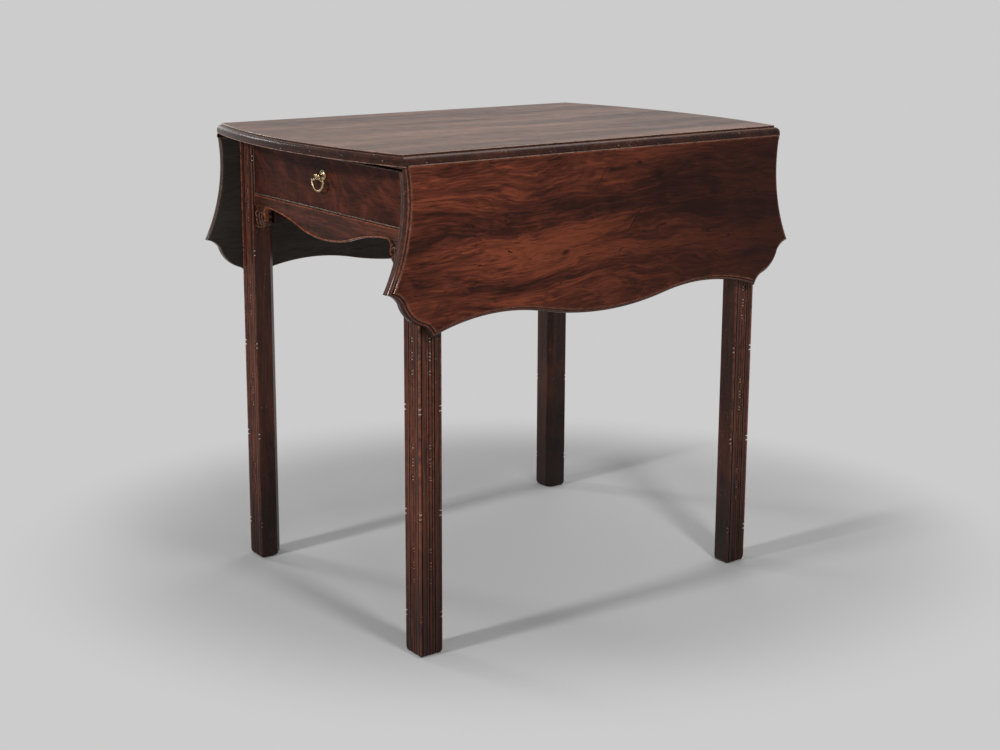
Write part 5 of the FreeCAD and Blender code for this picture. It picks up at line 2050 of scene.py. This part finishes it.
@dataclass(frozen=True)
class Lamp:
    """A soft rectangular lamp, in metres and watts, that the camera doesn't see."""

    place: Triple
    size: Point
    power: float
    lights: bool = True
    mirrored: bool = True

    def hang(self, name: str, aim: Vector) -> None:
        """Hangs the lamp in its place.

        Args:
            name: The lamp's name.
            aim: The point that it looks at.
        """
        data = bpy.data.lights.new(name, "AREA")
        data.shape = "RECTANGLE"
        data.size, data.size_y = self.size
        data.energy = self.power
        obj = bpy.data.objects.new(name, data)
        obj.rotation_mode = "QUATERNION"
        obj.rotation_quaternion = (aim - Vector(self.place)).to_track_quat("-Z", "Y")
        obj.location = self.place
        obj.visible_camera = False
        obj.visible_glossy = self.mirrored
        obj.visible_diffuse = self.lights
        bpy.context.scene.collection.objects.link(obj)


@dataclass
class Studio:
    """Camera, pale floor and soft light, in metres."""

    grey: Colour = (0.604, 0.604, 0.604)
    place: Triple = (1.930, -1.435, 0.944)
    yaw: float = 53.26
    pitch: float = 11.12
    roll: float = 0.24
    focal_pixels: float = 1543.2
    image_width: float = 1000.0
    sensor_width: float = 36.0
    shift_y: float = -0.10
    aim: Triple = (0.0, 0.0, 0.4)
    lamps: tuple[Lamp, ...] = (
        Lamp((-0.1, -5.4, 3.2), (0.55, 0.55), 200.0),
        Lamp((1.5, -0.2, 1.55), (0.22, 0.22), 15.0),
        Lamp((-2.27, -1.15, 1.9), (0.4, 0.4), 16.0, mirrored=False),
        Lamp((2.1, -1.0, 0.7), (0.08, 1.6), 3.0),
        Lamp((-0.4, 1.0, 2.6), (1.4, 1.4), 17.0),
        Lamp((-3.2, 0.05, 1.0), (0.9, 0.9), 4.5, lights=False),
        Lamp((-3.2, -1.2, 1.65), (0.35, 0.9), 14.0, lights=False),
    )
    ambience: float = 0.38
    floor_radius: float = 40.0
    floor_sides: int = 96
    paper: Colour = (0.476, 0.476, 0.478)
    paper_speck: Colour = (0.444, 0.444, 0.446)
    speck_share: float = 0.10
    paper_rough: float = 0.85
    paper_shine: float = 0.2
    pool_middle: Triple = (-0.062, 0.084, 0.0)
    pool_half: Triple = (0.84, 0.70, 1.0)
    pool_fade: Point = (0.60, 1.06)

    def camera(self) -> None:
        """Sets the camera where the photograph was taken."""
        data = bpy.data.cameras.new("camera")
        data.sensor_width = self.sensor_width
        data.lens = self.focal_pixels / self.image_width * data.sensor_width
        data.shift_y = self.shift_y
        obj = bpy.data.objects.new("camera", data)
        turn = Matrix.Rotation(math.radians(self.yaw), 4, "Z")
        turn = turn @ Matrix.Rotation(math.radians(90 - self.pitch), 4, "X")
        turn = turn @ Matrix.Rotation(math.radians(self.roll), 4, "Z")
        obj.matrix_world = Matrix.Translation(self.place) @ turn
        bpy.context.scene.collection.objects.link(obj)
        bpy.context.scene.camera = obj

    def paper_finish(self) -> Material:
        """Builds the floor's finish: paper round the table, and the backdrop's grey beyond.

        Returns:
            The material.
        """
        b = Board("floor_paper")
        b.shader.inputs["Roughness"].default_value = self.paper_rough
        b.shader.inputs["Specular IOR Level"].default_value = self.paper_shine
        flat = b.place(NO_TURN, (1.0, 1.0, 0.0))
        speck = b.math("MULTIPLY", b.noise(flat, 180.0, detail=3.0), self.speck_share)
        b.colour(b.mix(speck, self.paper, self.paper_speck))
        inputs = {"Vector": flat, "Location": self.pool_middle, "Scale": self.pool_half}
        inputs["Rotation"] = (0.0, 0.0, math.radians(self.yaw))
        pool = b.node("ShaderNodeMapping", inputs, vector_type="TEXTURE").outputs["Vector"]
        reach = b.node("ShaderNodeVectorMath", {0: pool}, operation="LENGTH").outputs["Value"]
        glow = b.node("ShaderNodeEmission", {"Color": (*self.grey, 1.0)}).outputs[0]
        inputs = {"Fac": b.fade(reach, *self.pool_fade), 1: b.shader.outputs[0], 2: glow}
        mixed = b.node("ShaderNodeMixShader", inputs).outputs[0]
        out = next(n for n in b.tree.nodes if n.type == "OUTPUT_MATERIAL")
        b.link(mixed, out.inputs["Surface"])
        return b.material

    def floor(self) -> None:
        """Lays a floor that pales into the backdrop away from the table."""
        bm = bmesh.new()
        bmesh.ops.create_circle(
            bm, cap_ends=True, segments=self.floor_sides, radius=self.floor_radius
        )
        mesh = bpy.data.meshes.new("floor")
        bm.to_mesh(mesh)
        bm.free()
        obj = bpy.data.objects.new("floor", mesh)
        bpy.context.scene.collection.objects.link(obj)
        mesh.materials.append(self.paper_finish())

    def room(self) -> None:
        """Fills the room with even light, dimmer than the backdrop that is seen."""
        world = bpy.data.worlds.new("room")
        bpy.context.scene.world = world
        world.use_nodes = True
        nodes, links = world.node_tree.nodes, world.node_tree.links
        back = next(n for n in nodes if n.type == "BACKGROUND")
        back.inputs["Color"].default_value = (*self.grey, 1.0)
        path = nodes.new("ShaderNodeLightPath")
        shown = path.outputs["Is Camera Ray"]
        for ray in ("Is Glossy Ray", "Is Transmission Ray"):
            either = nodes.new("ShaderNodeMath")
            either.operation = "MAXIMUM"
            links.new(shown, either.inputs[0])
            links.new(path.outputs[ray], either.inputs[1])
            shown = either.outputs[0]
        level = nodes.new("ShaderNodeMix")
        links.new(shown, level.inputs["Factor"])
        level.inputs["A"].default_value = self.ambience
        level.inputs["B"].default_value = 1.0
        links.new(level.outputs["Result"], back.inputs["Strength"])

    def build(self) -> None:
        """Sets up the whole studio."""
        self.camera()
        self.floor()
        self.room()
        for i, lamp in enumerate(self.lamps):
            lamp.hang(f"lamp_{i}", Vector(self.aim))
        bpy.context.scene.view_settings.view_transform = "Standard"


def main() -> None:
    """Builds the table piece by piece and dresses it."""
    logging.basicConfig(level=logging.INFO, format="%(message)s")
    palette = Palette()
    TableTop().build(palette)
    for side in Side:
        Leaf(side).build(palette)
        for end in End:
            Leg(side, end).build(palette)
    EndRail(End.FRONT, "drawer_rail", top=601.3).build(palette)
    EndRail(End.BACK, "back_rail", top=LAYOUT.underside).build(palette)
    UpperRail().build(palette)
    DrawerTrim().build(palette)
    DropPull().build(palette)
    Carcase().build(palette)
    Studio().build()


if __name__ == "__main__":
    main()
